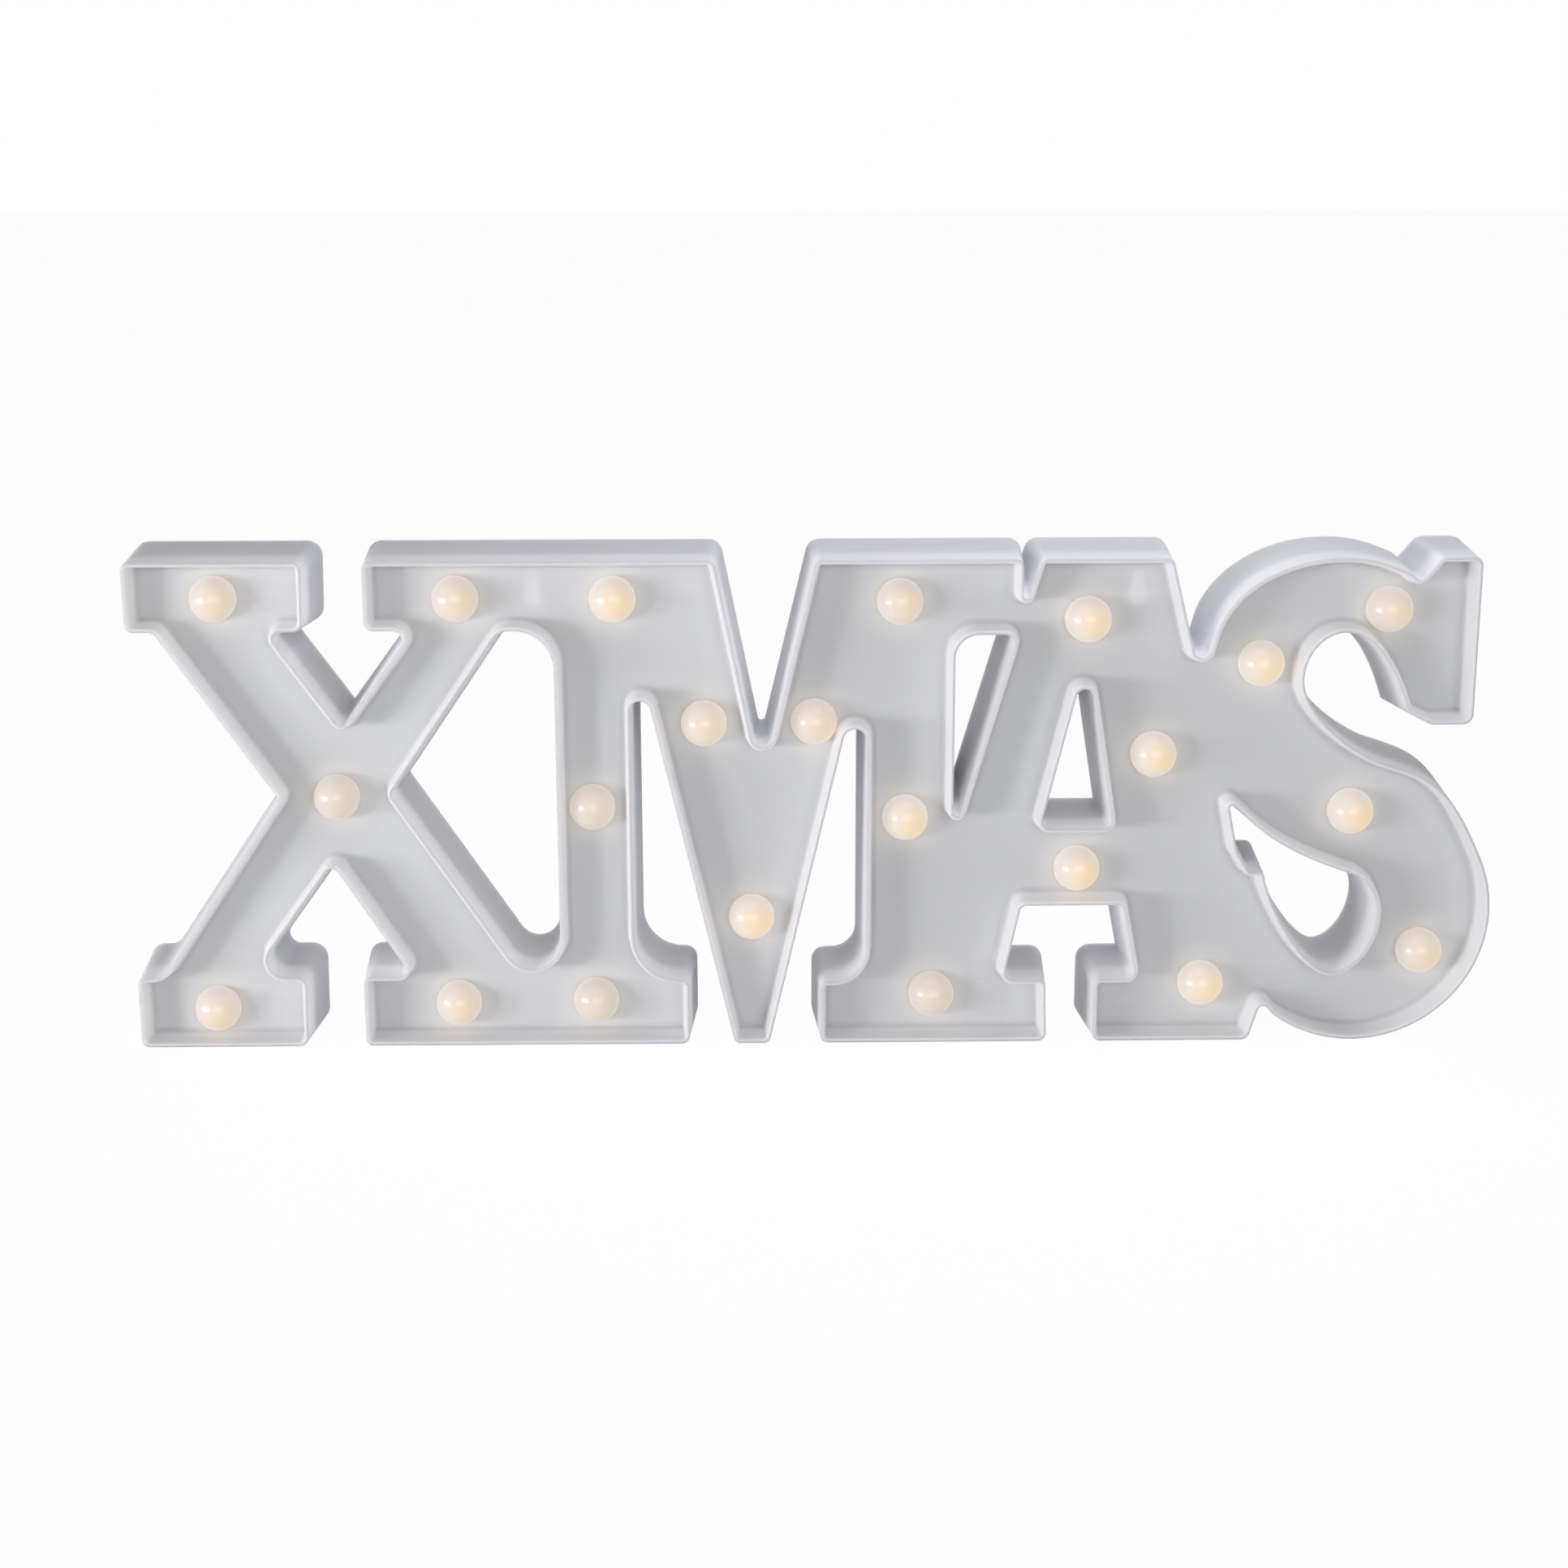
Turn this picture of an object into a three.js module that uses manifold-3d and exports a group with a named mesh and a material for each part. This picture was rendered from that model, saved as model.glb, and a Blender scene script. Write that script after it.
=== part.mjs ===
// A marquee word sign: one drafted, hollow moulding in the shape of four joined
// capital letters, a recessed front panel with 22 round lamp caps, a flush back
// cover with a battery bay, and a slide switch. Millimetres, +Z up, front faces -Y.
// The origin is under the middle of the sign, on the surface that it stands on.

import * as THREE from "three";
import Module from "manifold-3d";

const wasm = await Module();
wasm.setup();

// Letters
const LETTER_H = 220.5;
const X_WIDTH = 123;
const M_WIDTH = 307.5;
const A_WIDTH = 114;
const S_WIDTH = 128;
const LETTER_LAP = 22;
const NOTCH_W = 7.9;
const CORNER_R = 3.5;
const LEAST_R = 0.3;
const SIDE_SHARE = 0.98;
const S_BELLY_R = 59.5;

// Main moulding
const DEPTH = 44;
const WALL_DRAFT = 3;
const RIM = 1.7;
const RECESS = 14.5;
const RECESS_DRAFT = 1.5;
const PANEL_T = 2;
const WALL = 2;
const CLEARANCE = 0.3;
const OVERRUN = 2;

// Lamp caps and lamps
const CAP_D = 20.5;
const CAP_CENTRE_OUT = 2.5;
const STEM_D = 9.4;
const STEM_OUT = 4.6;
const BARB_D = 11;
const LAMP_D = 5;
const LAMP_L = 8.6;
const LAMP_BASE_D = 5.8;
const LAMP_BASE_L = 1;
const WIRE_D = 1.5;

// Back cover and its screws
const COVER_T = 2;
const BOSS_D = 7;
const SCREW_D = 2.6;
const SCREW_L = 9;
const SCREW_HEAD_D = 5.6;
const SCREW_HEAD_H = 1.5;
const KEYHOLE_D = 9;
const KEYHOLE_SLOT = 4.4;
const KEYHOLE_L = 8;
const KEYHOLE_PAD_T = 1.4;
const KEYHOLE_PAD_RIM = 4;

// Battery bay, two AA cells side by side
const CELL_D = 14.2;
const CELL_L = 49.5;
const CELL_NUB_D = 5.5;
const CELL_NUB_L = 1;
const CELL_GAP = 0.8;
const SPRING_L = 4.5;
const SPRING_D = 7;
const SPRING_WIRE = 0.8;
const SPRING_TURNS = 4;
const CONTACT_T = 0.5;
const CONTACT_W = 11;
const BAY_WALL = 1.5;
const DOOR_T = 1.8;
const DOOR_LAND = 2.4;
const DOOR_TAB_W = 5;
const DOOR_TAB_REACH = 1.8;
const DOOR_TAB_T = 1.2;
const DOOR_GRIP_W = 12;
const DOOR_GRIP_H = 5;
const DOOR_GRIP_DEPTH = 0.9;

// Slide switch
const WELL_W = 10;
const WELL_H = 17;
const WELL_DEPTH = 1.6;
const WELL_FLOOR = 1.2;
const SLOT_W = 3.2;
const SLIDER_W = 2.6;
const SLIDER_H = 4.4;
const SLIDER_TRAVEL = 3.6;
const SLIDER_PROUD = 1.4;
const SLIDER_FOOT = 1.4;
const SWITCH_BODY_W = 7;
const SWITCH_BODY_H = 13;
const SWITCH_BODY_T = 5;

// Facets
const CORNER_STEP_DEG = 40;
const WIDE_STEP_DEG = 20;
const CURVE_STEPS = 6;
const BELLY_STEP_DEG = 10;
const CAP_SIDES = 12;
const CAP_RINGS = 3;
const SMALL_SIDES = 8;
const WIRE_SIDES = 6;
const BOSS_SIDES = 12;
const CELL_SIDES = 16;

// Places that follow from the sizes
const FRONT = -DEPTH / 2;
const BACK = DEPTH / 2;
const FLOOR_Y = FRONT + RECESS;
const PANEL_BACK = FLOOR_Y + PANEL_T;
const COVER_FRONT = BACK - COVER_T;
const X_LEFT = 0;
const M_LEFT = X_LEFT + X_WIDTH - LETTER_LAP;
const A_LEFT = M_LEFT + M_WIDTH - LETTER_LAP;
const S_LEFT = A_LEFT + A_WIDTH - LETTER_LAP;
const WORD_W = S_LEFT + S_WIDTH;

// Letter boxes: a share of a box gives a place in the word
const X_BOX = { left: X_LEFT, width: X_WIDTH };
const M_BOX = { left: M_LEFT, width: M_WIDTH };
const A_BOX = { left: A_LEFT, width: A_WIDTH };
const S_BOX = { left: S_LEFT, width: S_WIDTH };

const place = (box, [xShare, zShare]) => ({
  x: box.left + xShare * box.width,
  z: zShare * LETTER_H,
});

// Corners of a letter: share of its width, share of its height, and the
// fillet as a share of the common corner radius
const corners = (box, shares) =>
  shares.map(([xShare, zShare, roundShare]) => ({
    ...place(box, [xShare, zShare]),
    round: roundShare * CORNER_R,
  }));

// Points along a cubic curve whose ends and handles are shares of a letter box
function curve(box, start, shares) {
  const [a, b, c] = shares.map((share) => place(box, share));
  const path = new THREE.CubicBezierCurve(
    new THREE.Vector2(start.x, start.z),
    new THREE.Vector2(a.x, a.z),
    new THREE.Vector2(b.x, b.z),
    new THREE.Vector2(c.x, c.z),
  );
  const points = path.getPoints(CURVE_STEPS).slice(1);
  return points.map((p) => ({ x: p.x, z: p.y, round: 0 }));
}

// A chain of cubic curves, each starting where the last one ended
function curveChain(box, start, chain) {
  const points = [];
  let from = start;
  for (const shares of chain) {
    points.push(...curve(box, from, shares));
    from = points[points.length - 1];
  }
  return points;
}

// The round belly of the S, from its lower left round to its upper right
function bellyArc() {
  const fromDeg = -127;
  const toDeg = 24;
  const steps = Math.round((toDeg - fromDeg) / BELLY_STEP_DEG);
  const points = [];
  for (let i = 0; i <= steps; i += 1) {
    const angle = THREE.MathUtils.degToRad(fromDeg + ((toDeg - fromDeg) * i) / steps);
    points.push({
      x: WORD_W - S_BELLY_R + S_BELLY_R * Math.cos(angle),
      z: S_BELLY_R + S_BELLY_R * Math.sin(angle),
      round: 0,
    });
  }
  return points;
}

// Outline of the word, anticlockwise seen from the front, in letter-box shares
const X_LOWER_SHARES = [
  [0, 0, 1], [0.61, 0, 1.2], [0.614, 0.147, 1.2],
  [0.412, 0.147, 2.3], [0.726, 0.388, 0.9], [1, 0.147, 1],
];
const M_LOWER_SHARES = [
  [0, 0.147, 1], [0, 0, 1], [0.475, 0, 1], [0.475, 0.136, 1],
  [0.395, 0.136, 6.9], [0.395, 0.875, 1.28],
  [0.5415, 0, 0.9], [0.592, 0, 0.9],
  [0.733, 0.84, 1.48], [0.733, 0.134, 4], [0.667, 0.131, 0.9],
  [0.667, 0, 1], [1, 0, 1.1], [0.997, 0.131, 0.9], [0.935, 0.131, 1.1],
];
const A_LOWER_SHARES = [
  [0.083, 0.291, 0.9], [0.484, 0.291, 0.9],
  [0.544, 0.133, 1], [0.377, 0.133, 1.1], [0.377, 0, 1], [0.995, 0, 1.2],
];
const S_FOOT_NOTCH_SHARES = [[0.2125, 0.084, 0.7]];
const S_SPINE_SHARES = [
  [[0.8266, 0.5537], [0.759, 0.5515], [0.582, 0.587]],
  [[0.449, 0.621], [0.3086, 0.694], [0.3086, 0.757]],
  [[0.3086, 0.807], [0.371, 0.851], [0.447, 0.851]],
  [[0.57, 0.851], [0.6445, 0.746], [0.677, 0.686]],
];
const S_TERMINAL_SHARES = [
  [0.754, 0.6635, 0.85], [0.898, 0.6635, 1.3], [0.898, 1, 1],
  [0.762, 1, 0.85], [0.691, 0.951, 0.7], [0.656, 0.969, 0],
];
const S_ARCH_SHARES = [
  [[0.582, 0.987], [0.5195, 1], [0.433, 1]],
  [[0.199, 1], [0.0266, 0.925], [-0.004, 0.836]],
];
const S_NOTCH_SHARES = [[-0.0453, 0.752, 1.08]];
const A_UPPER_SHARES = [[0.635, 1, 0.9], [0.135, 1, 0.9]];
const NOTCH_SHARES = [[0.878, 0.45], [1, 0.9]];
const M_UPPER_SHARES = [
  [0.66, 1, 1], [0.582, 0.547, 1.34],
  [0.516, 1, 1], [0.022, 1, 1], [0.022, 0.8635, 1], [0.09, 0.8635, 1.3],
];
const X_UPPER_SHARES = [
  [0.781, 0.664, 0.86], [0.53, 0.862, 0.9], [0.6585, 0.862, 1.15], [0.664, 1, 1],
  [0.033, 1, 1], [0.035, 0.862, 1], [0.134, 0.862, 1.15],
  [0.549, 0.5215, 1.2], [0.091, 0.147, 2.6], [0, 0.147, 0.9],
];

// Through openings of the word, clockwise seen from the front
const XM_LEFT_SHARES = [[0.945, 0.531, 0.9]];
const XM_RIGHT_SHARES = [[0.212, 0.862, 2.3], [0.288, 0.862, 4.9], [0.288, 0.03, 3.6]];
const MA_LEFT_SHARES = [[0.858, 0.429, 0.53], [0.858, 0.85, 3]];
const MA_RIGHT_SHARES = [[0.049, 0.85, 1.15]];
const A_EYE_SHARES = [[0.151, 0.452, 0.9], [0.32, 0.8145, 1.17], [0.434, 0.452, 0.9]];
const S_EYE_CORNER_SHARES = [
  [0.1975, 0.359, 0.25], [0.1485, 0.359, 0.45], [0.103, 0.4035, 0.85],
  [0.0665, 0.508, 0.35], [0.129, 0.476, 0],
];
const S_EYE_CURVE_SHARES = [
  [[0.2305, 0.4115], [0.402, 0.374], [0.5195, 0.3515]],
  [[0.574, 0.339], [0.6055, 0.304], [0.6055, 0.27]],
  [[0.6055, 0.2085], [0.535, 0.145], [0.449, 0.145]],
  [[0.375, 0.145], [0.234, 0.258], [0.1975, 0.359]],
];

// The notch between the M and the A: its straight side stands a set width
// from the corner where the A's slanted side starts
function topNotch() {
  const { x } = place(A_BOX, A_UPPER_SHARES[1]);
  return NOTCH_SHARES.map(([zShare, roundShare]) => ({
    x: x - NOTCH_W,
    z: zShare * LETTER_H,
    round: roundShare * CORNER_R,
  }));
}

function wordOutline() {
  const belly = bellyArc();
  const spine = curveChain(S_BOX, belly[belly.length - 1], S_SPINE_SHARES);
  const terminal = corners(S_BOX, S_TERMINAL_SHARES);
  const arch = curveChain(S_BOX, terminal[terminal.length - 1], S_ARCH_SHARES);
  return [
    ...corners(X_BOX, X_LOWER_SHARES),
    ...corners(M_BOX, M_LOWER_SHARES),
    ...corners(A_BOX, A_LOWER_SHARES),
    ...corners(S_BOX, S_FOOT_NOTCH_SHARES),
    ...belly,
    ...spine,
    ...terminal,
    ...arch,
    ...corners(S_BOX, S_NOTCH_SHARES),
    ...corners(A_BOX, A_UPPER_SHARES),
    ...topNotch(),
    ...corners(M_BOX, M_UPPER_SHARES),
    ...corners(X_BOX, X_UPPER_SHARES),
  ];
}

function wordOpenings() {
  const eyeCorners = corners(S_BOX, S_EYE_CORNER_SHARES);
  const eyeCurve = curveChain(S_BOX, eyeCorners[eyeCorners.length - 1], S_EYE_CURVE_SHARES);
  return [
    [...corners(X_BOX, XM_LEFT_SHARES), ...corners(M_BOX, XM_RIGHT_SHARES)],
    [...corners(M_BOX, MA_LEFT_SHARES), ...corners(A_BOX, MA_RIGHT_SHARES)],
    corners(A_BOX, A_EYE_SHARES),
    [...eyeCorners, ...eyeCurve.slice(0, -1)],
  ];
}

const LOOPS = [wordOutline(), ...wordOpenings()];

// Moves every side of a loop out by a distance, keeping its number of corners
function mitred(loop, out) {
  const count = loop.length;
  const normal = (p, q) => {
    const length = Math.hypot(q.x - p.x, q.z - p.z);
    return { x: (q.z - p.z) / length, z: (p.x - q.x) / length };
  };
  return loop.map((point, i) => {
    const before = normal(loop[(i + count - 1) % count], point);
    const after = normal(point, loop[(i + 1) % count]);
    const reach = out / (1 + before.x * after.x + before.z * after.z);
    return {
      x: point.x + (before.x + after.x) * reach,
      z: point.z + (before.z + after.z) * reach,
    };
  });
}

// A loop at one depth: its sides moved out, and each corner rounded to match.
// Two fillets that share a short side are drawn in until both fit on it.
function roundedLoop(loop, out) {
  const count = loop.length;
  const moved = mitred(loop, out);
  const bends = moved.map((p, i) => {
    const q = moved[(i + count - 1) % count];
    const s = moved[(i + 1) % count];
    const toLast = new THREE.Vector2(q.x - p.x, q.z - p.z).normalize();
    const toNext = new THREE.Vector2(s.x - p.x, s.z - p.z).normalize();
    const halfAngle = Math.acos(THREE.MathUtils.clamp(toLast.dot(toNext), -1, 1)) / 2;
    const outward = toNext.cross(toLast) > 0;
    const wanted = Math.max(loop[i].round + (outward ? out : -out), LEAST_R);
    const round = loop[i].round > 0 ? wanted : 0;
    return { toLast, toNext, halfAngle, round, cut: round / Math.tan(halfAngle) };
  });
  const room = moved.map((p, i) => {
    const next = (i + 1) % count;
    const side = Math.hypot(moved[next].x - p.x, moved[next].z - p.z);
    const used = bends[i].cut + bends[next].cut;
    return Math.min(1, (SIDE_SHARE * side) / used);
  });
  const points = [];
  moved.forEach((p, i) => {
    const bend = bends[i];
    if (bend.round === 0) {
      points.push(new THREE.Vector2(p.x, p.z));
      return;
    }
    const radius = bend.round * Math.min(room[i], room[(i + count - 1) % count]);
    const turn = Math.PI - 2 * bend.halfAngle;
    const stepDeg = loop[i].round > 2 * CORNER_R ? WIDE_STEP_DEG : CORNER_STEP_DEG;
    const steps = Math.max(2, Math.round(THREE.MathUtils.radToDeg(turn) / stepDeg));
    const inward = bend.toLast.clone().add(bend.toNext).normalize();
    const centre = inward.multiplyScalar(radius / Math.sin(bend.halfAngle));
    centre.add(new THREE.Vector2(p.x, p.z));
    const first = bend.toLast.clone().multiplyScalar(radius / Math.tan(bend.halfAngle));
    first.add(new THREE.Vector2(p.x, p.z)).sub(centre);
    const way = Math.sign(bend.toNext.cross(bend.toLast));
    for (let k = 0; k <= steps; k += 1) {
      const spoke = first.clone().rotateAround(new THREE.Vector2(), (way * turn * k) / steps);
      points.push(spoke.add(centre));
    }
  });
  return points;
}

// Manifold helpers
function solidFrom(positions, indices) {
  return new wasm.Manifold(new wasm.Mesh({
    numProp: 3,
    vertProperties: Float32Array.from(positions),
    triVerts: Uint32Array.from(indices),
  }));
}

function solidOf(geometry) {
  const bare = geometry.index ? geometry : geometry.clone();
  const positions = bare.attributes.position;
  const seen = new Map();
  const kept = [];
  const remap = [];
  for (let i = 0; i < positions.count; i += 1) {
    const point = [positions.getX(i), positions.getY(i), positions.getZ(i)];
    const key = point.map((value) => value.toFixed(5)).join(" ").replaceAll("-0.00000", "0.00000");
    if (!seen.has(key)) {
      seen.set(key, kept.length / 3);
      kept.push(...point);
    }
    remap.push(seen.get(key));
  }
  const order = bare.index ? Array.from(bare.index.array) : remap.map((_, i) => i);
  const triangles = [];
  for (let i = 0; i < order.length; i += 3) {
    const tri = [remap[order[i]], remap[order[i + 1]], remap[order[i + 2]]];
    if (new Set(tri).size === 3) triangles.push(...tri);
  }
  return solidFrom(kept, triangles);
}

function geometryOf(solid) {
  const mesh = solid.getMesh();
  const geometry = new THREE.BufferGeometry();
  geometry.setAttribute("position", new THREE.BufferAttribute(mesh.vertProperties, 3));
  geometry.setIndex(new THREE.BufferAttribute(mesh.triVerts, 1));
  geometry.computeVertexNormals();
  return geometry;
}

const joined = (solids) => solids.reduce((all, solid) => all.add(solid));

// The word as a solid between two depths, drafted from one outline to the other
function wordSolid(frontY, frontOut, backY, backOut) {
  const levels = [[frontY, frontOut], [backY, backOut]];
  const rings = levels.map(([, out]) => LOOPS.map((loop) => roundedLoop(loop, out)));
  const positions = [];
  levels.forEach(([y], level) => {
    rings[level].flat().forEach((p) => positions.push(p.x, y, p.y));
  });
  const perLevel = positions.length / 6;
  const indices = [];
  let start = 0;
  for (const ring of rings[0]) {
    for (let i = 0; i < ring.length; i += 1) {
      const a = start + i;
      const b = start + ((i + 1) % ring.length);
      indices.push(a, a + perLevel, b + perLevel);
      indices.push(a, b + perLevel, b);
    }
    start += ring.length;
  }
  rings.forEach((loops, level) => {
    const flat = loops.flat();
    const faces = THREE.ShapeUtils.triangulateShape(loops[0], loops.slice(1));
    for (const [i, j, k] of faces) {
      const area = THREE.ShapeUtils.area([flat[i], flat[j], flat[k]]);
      const order = area > 0 === (level === 0) ? [i, j, k] : [i, k, j];
      indices.push(...order.map((n) => n + level * perLevel));
    }
  });
  return solidFrom(positions, indices);
}

// A box from its lowest to its highest corner
function block(x0, y0, z0, x1, y1, z1) {
  const box = new THREE.BoxGeometry(x1 - x0, y1 - y0, z1 - z0);
  box.translate((x0 + x1) / 2, (y0 + y1) / 2, (z0 + z1) / 2);
  return solidOf(box);
}

// A solid turned about a line along Y through x, z; the profile is [radius, y]
function turned(profile, x, z, sides) {
  const lathe = new THREE.LatheGeometry(
    profile.map(([radius, along]) => new THREE.Vector2(radius, along)),
    sides,
  );
  lathe.translate(x, 0, z);
  const solid = solidOf(lathe);
  return solid.volume() < 0 ? solidOf(flipped(lathe)) : solid;
}

function flipped(geometry) {
  const order = Array.from(geometry.index.array);
  for (let i = 0; i < order.length; i += 3) {
    [order[i + 1], order[i + 2]] = [order[i + 2], order[i + 1]];
  }
  geometry.setIndex(order);
  return geometry;
}

const rod = (x, z, diameter, y0, y1, sides) =>
  turned([[0, y0], [diameter / 2, y0], [diameter / 2, y1], [0, y1]], x, z, sides);

// Keeps a solid that reaches below a height from going lower than it
function trimmedBelow(solid, height) {
  const below = block(
    -WALL_DRAFT - OVERRUN, FRONT - DEPTH, -S_BELLY_R,
    WORD_W + WALL_DRAFT + OVERRUN, BACK + DEPTH, height,
  );
  return solid.subtract(below);
}

// Lamp places, in letter-box shares
const X_LAMP_SHARES = [[0.333, 0.92], [0.74, 0.514], [0.267, 0.066]];
const M_LAMP_SHARES = [
  [0.1475, 0.918], [0.371, 0.916], [0.4995, 0.6625], [0.6585, 0.665],
  [0.781, 0.909], [0.337, 0.49], [0.791, 0.4645], [0.567, 0.256],
  [0.134, 0.0745], [0.337, 0.079], [0.832, 0.087],
];
const A_LAMP_SHARES = [[0.329, 0.871], [0.598, 0.594], [0.309, 0.3555], [0.816, 0.1075]];
const S_LAMP_SHARES = [[0.1766, 0.78], [0.61, 0.889], [0.512, 0.4725], [0.782, 0.175]];

const lampsIn = (box, shares) => shares.map((share) => place(box, share));
const X_LAMPS = lampsIn(X_BOX, X_LAMP_SHARES);
const M_LAMPS = lampsIn(M_BOX, M_LAMP_SHARES);
const A_LAMPS = lampsIn(A_BOX, A_LAMP_SHARES);
const S_LAMPS = lampsIn(S_BOX, S_LAMP_SHARES);
const LAMPS = [...X_LAMPS, ...M_LAMPS, ...A_LAMPS, ...S_LAMPS];

// Screw places, in letter-box shares
const SCREWS = [
  ...lampsIn(X_BOX, [[0.537, 0.93], [0.472, 0.06]]),
  ...lampsIn(M_BOX, [[0.472, 0.94], [0.231, 0.064], [0.566, 0.12], [0.881, 0.93], [0.719, 0.064]]),
  ...lampsIn(A_BOX, [[0.522, 0.064]]),
  ...lampsIn(S_BOX, [[0.77, 0.77], [0.8, 0.37]]),
];

// Main moulding: drafted outer wall, thin rim, recessed panel and screw posts
function letterShell() {
  const outer = trimmedBelow(wordSolid(FRONT, 0, BACK, WALL_DRAFT), 0);
  const recessSlope = RECESS_DRAFT / RECESS;
  const recess = wordSolid(
    FRONT - OVERRUN, OVERRUN * recessSlope - RIM,
    FLOOR_Y, -RIM - RECESS_DRAFT,
  );
  const draftAt = (y) => (WALL_DRAFT * (y - FRONT)) / DEPTH;
  const cavity = trimmedBelow(
    wordSolid(PANEL_BACK, draftAt(PANEL_BACK) - WALL, BACK + OVERRUN, draftAt(BACK + OVERRUN) - WALL),
    WALL,
  );
  const posts = SCREWS.map(({ x, z }) =>
    rod(x, z, BOSS_D, PANEL_BACK - PANEL_T / 2, COVER_FRONT - CLEARANCE, BOSS_SIDES));
  const pilotEnd = COVER_FRONT + SCREW_HEAD_H - SCREW_L - 2 * CLEARANCE;
  const pilots = SCREWS.map(({ x, z }) =>
    rod(x, z, SCREW_D + 2 * CLEARANCE, pilotEnd, COVER_FRONT + OVERRUN, SMALL_SIDES));
  const lampHoles = LAMPS.map(({ x, z }) =>
    rod(x, z, STEM_D + 2 * CLEARANCE, FLOOR_Y - OVERRUN, PANEL_BACK + OVERRUN, CAP_SIDES));
  return outer
    .subtract(recess)
    .subtract(cavity)
    .add(joined(posts))
    .subtract(joined([...pilots, ...lampHoles]));
}

// Lamp cap: a frosted globe that sits on the panel, with a stem and a snap barb
// behind the panel, and a bore up the stem for the lamp
function lampCap({ x, z }) {
  const radius = CAP_D / 2;
  const centre = FLOOR_Y - CAP_CENTRE_OUT;
  const seat = FLOOR_Y - CLEARANCE;
  const seatRadius = Math.sqrt(radius ** 2 - (seat - centre) ** 2);
  const globe = [];
  for (let i = 1; i <= CAP_RINGS; i += 1) {
    const angle = (Math.PI * i) / (2 * CAP_RINGS);
    globe.push([radius * Math.sin(angle), centre - radius * Math.cos(angle)]);
  }
  const stemEnd = PANEL_BACK + STEM_OUT;
  const barbStart = PANEL_BACK + CLEARANCE;
  const bore = LAMP_D / 2 + CLEARANCE;
  return turned([
    [0, centre - radius],
    ...globe,
    [seatRadius, seat],
    [STEM_D / 2, seat],
    [STEM_D / 2, barbStart],
    [BARB_D / 2, barbStart],
    [STEM_D / 2, stemEnd],
    [bore, stemEnd],
    [bore, stemEnd - LAMP_L - CLEARANCE],
    [0, stemEnd - LAMP_L - CLEARANCE],
  ], x, z, CAP_SIDES);
}

// A straight run of wire between two places
function wireRun(from, to, y) {
  const length = Math.hypot(to.x - from.x, to.z - from.z);
  const bar = new THREE.CylinderGeometry(WIRE_D / 2, WIRE_D / 2, length, WIRE_SIDES);
  bar.translate(0, length / 2, 0);
  bar.rotateX(Math.PI / 2);
  bar.rotateY(Math.atan2(to.x - from.x, to.z - from.z));
  bar.translate(from.x, y, from.z);
  return solidOf(bar);
}

// One letter's lamps on their lead: each lamp reaches up into its cap's stem
function lampString(lamps, runs) {
  const stemEnd = PANEL_BACK + STEM_OUT;
  const base = stemEnd + CLEARANCE;
  const wireY = base + LAMP_BASE_L / 2;
  const tip = stemEnd - LAMP_L;
  const bodies = lamps.map(({ x, z }) => turned([
    [0, tip],
    [LAMP_D / 3, tip + LAMP_D / 6],
    [LAMP_D / 2, tip + LAMP_D / 2],
    [LAMP_D / 2, base],
    [LAMP_BASE_D / 2, base],
    [LAMP_BASE_D / 2, base + LAMP_BASE_L],
    [0, base + LAMP_BASE_L],
  ], x, z, WIRE_SIDES));
  const wires = runs.map(([from, to]) => wireRun(from, to, wireY));
  return joined([...bodies, ...wires]);
}

// Battery bay places: the bay stands midway between the M's right slot and the
// A's left foot
const BAY_CENTRE_X = (place(M_BOX, [0.733, 0]).x + place(A_BOX, [0.083, 0]).x) / 2;
const BAY_CENTRE_Z = place(M_BOX, [0, 0.2857]).z;
const BAY_W = 2 * CELL_D + CELL_GAP + 2 * CLEARANCE;
const BAY_H = CELL_L + CELL_NUB_L + SPRING_L + 2 * CONTACT_T + 3 * CLEARANCE;
const BAY_LEFT = BAY_CENTRE_X - BAY_W / 2;
const BAY_RIGHT = BAY_CENTRE_X + BAY_W / 2;
const BAY_BOTTOM = BAY_CENTRE_Z - BAY_H / 2;
const BAY_TOP = BAY_CENTRE_Z + BAY_H / 2;
const DOOR_INNER = BACK - DOOR_T;
const BAY_FLOOR = DOOR_INNER - 2 * CLEARANCE - CELL_D - CLEARANCE;
const CELL_Y = DOOR_INNER - 2 * CLEARANCE - CELL_D / 2;
const CELL_OFFSET = (CELL_D + CELL_GAP) / 2;
const CELLS_X = [BAY_CENTRE_X - CELL_OFFSET, BAY_CENTRE_X + CELL_OFFSET];
const OPEN_BOTTOM = BAY_BOTTOM + DOOR_LAND;
const OPEN_TOP = BAY_TOP - DOOR_LAND / 2;

// Keyhole for a wall screw: round head hole with a narrow slot above it
function keyhole(x, z, y0, y1) {
  const head = rod(x, z, KEYHOLE_D, y0, y1, BOSS_SIDES);
  const slotTop = z + KEYHOLE_L;
  const slot = block(x - KEYHOLE_SLOT / 2, y0, z, x + KEYHOLE_SLOT / 2, y1, slotTop);
  return joined([head, slot, rod(x, slotTop, KEYHOLE_SLOT, y0, y1, BOSS_SIDES)]);
}

// Slide switch place, in the middle of the M's right leg
const { x: SWITCH_X, z: SWITCH_Z } = place(M_BOX, [0.7955, 0.635]);

const KEYHOLES = [
  ...lampsIn(M_BOX, [[0.2575, 0.92]]),
  ...lampsIn(A_BOX, [[0.52, 0.92]]),
];

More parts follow.
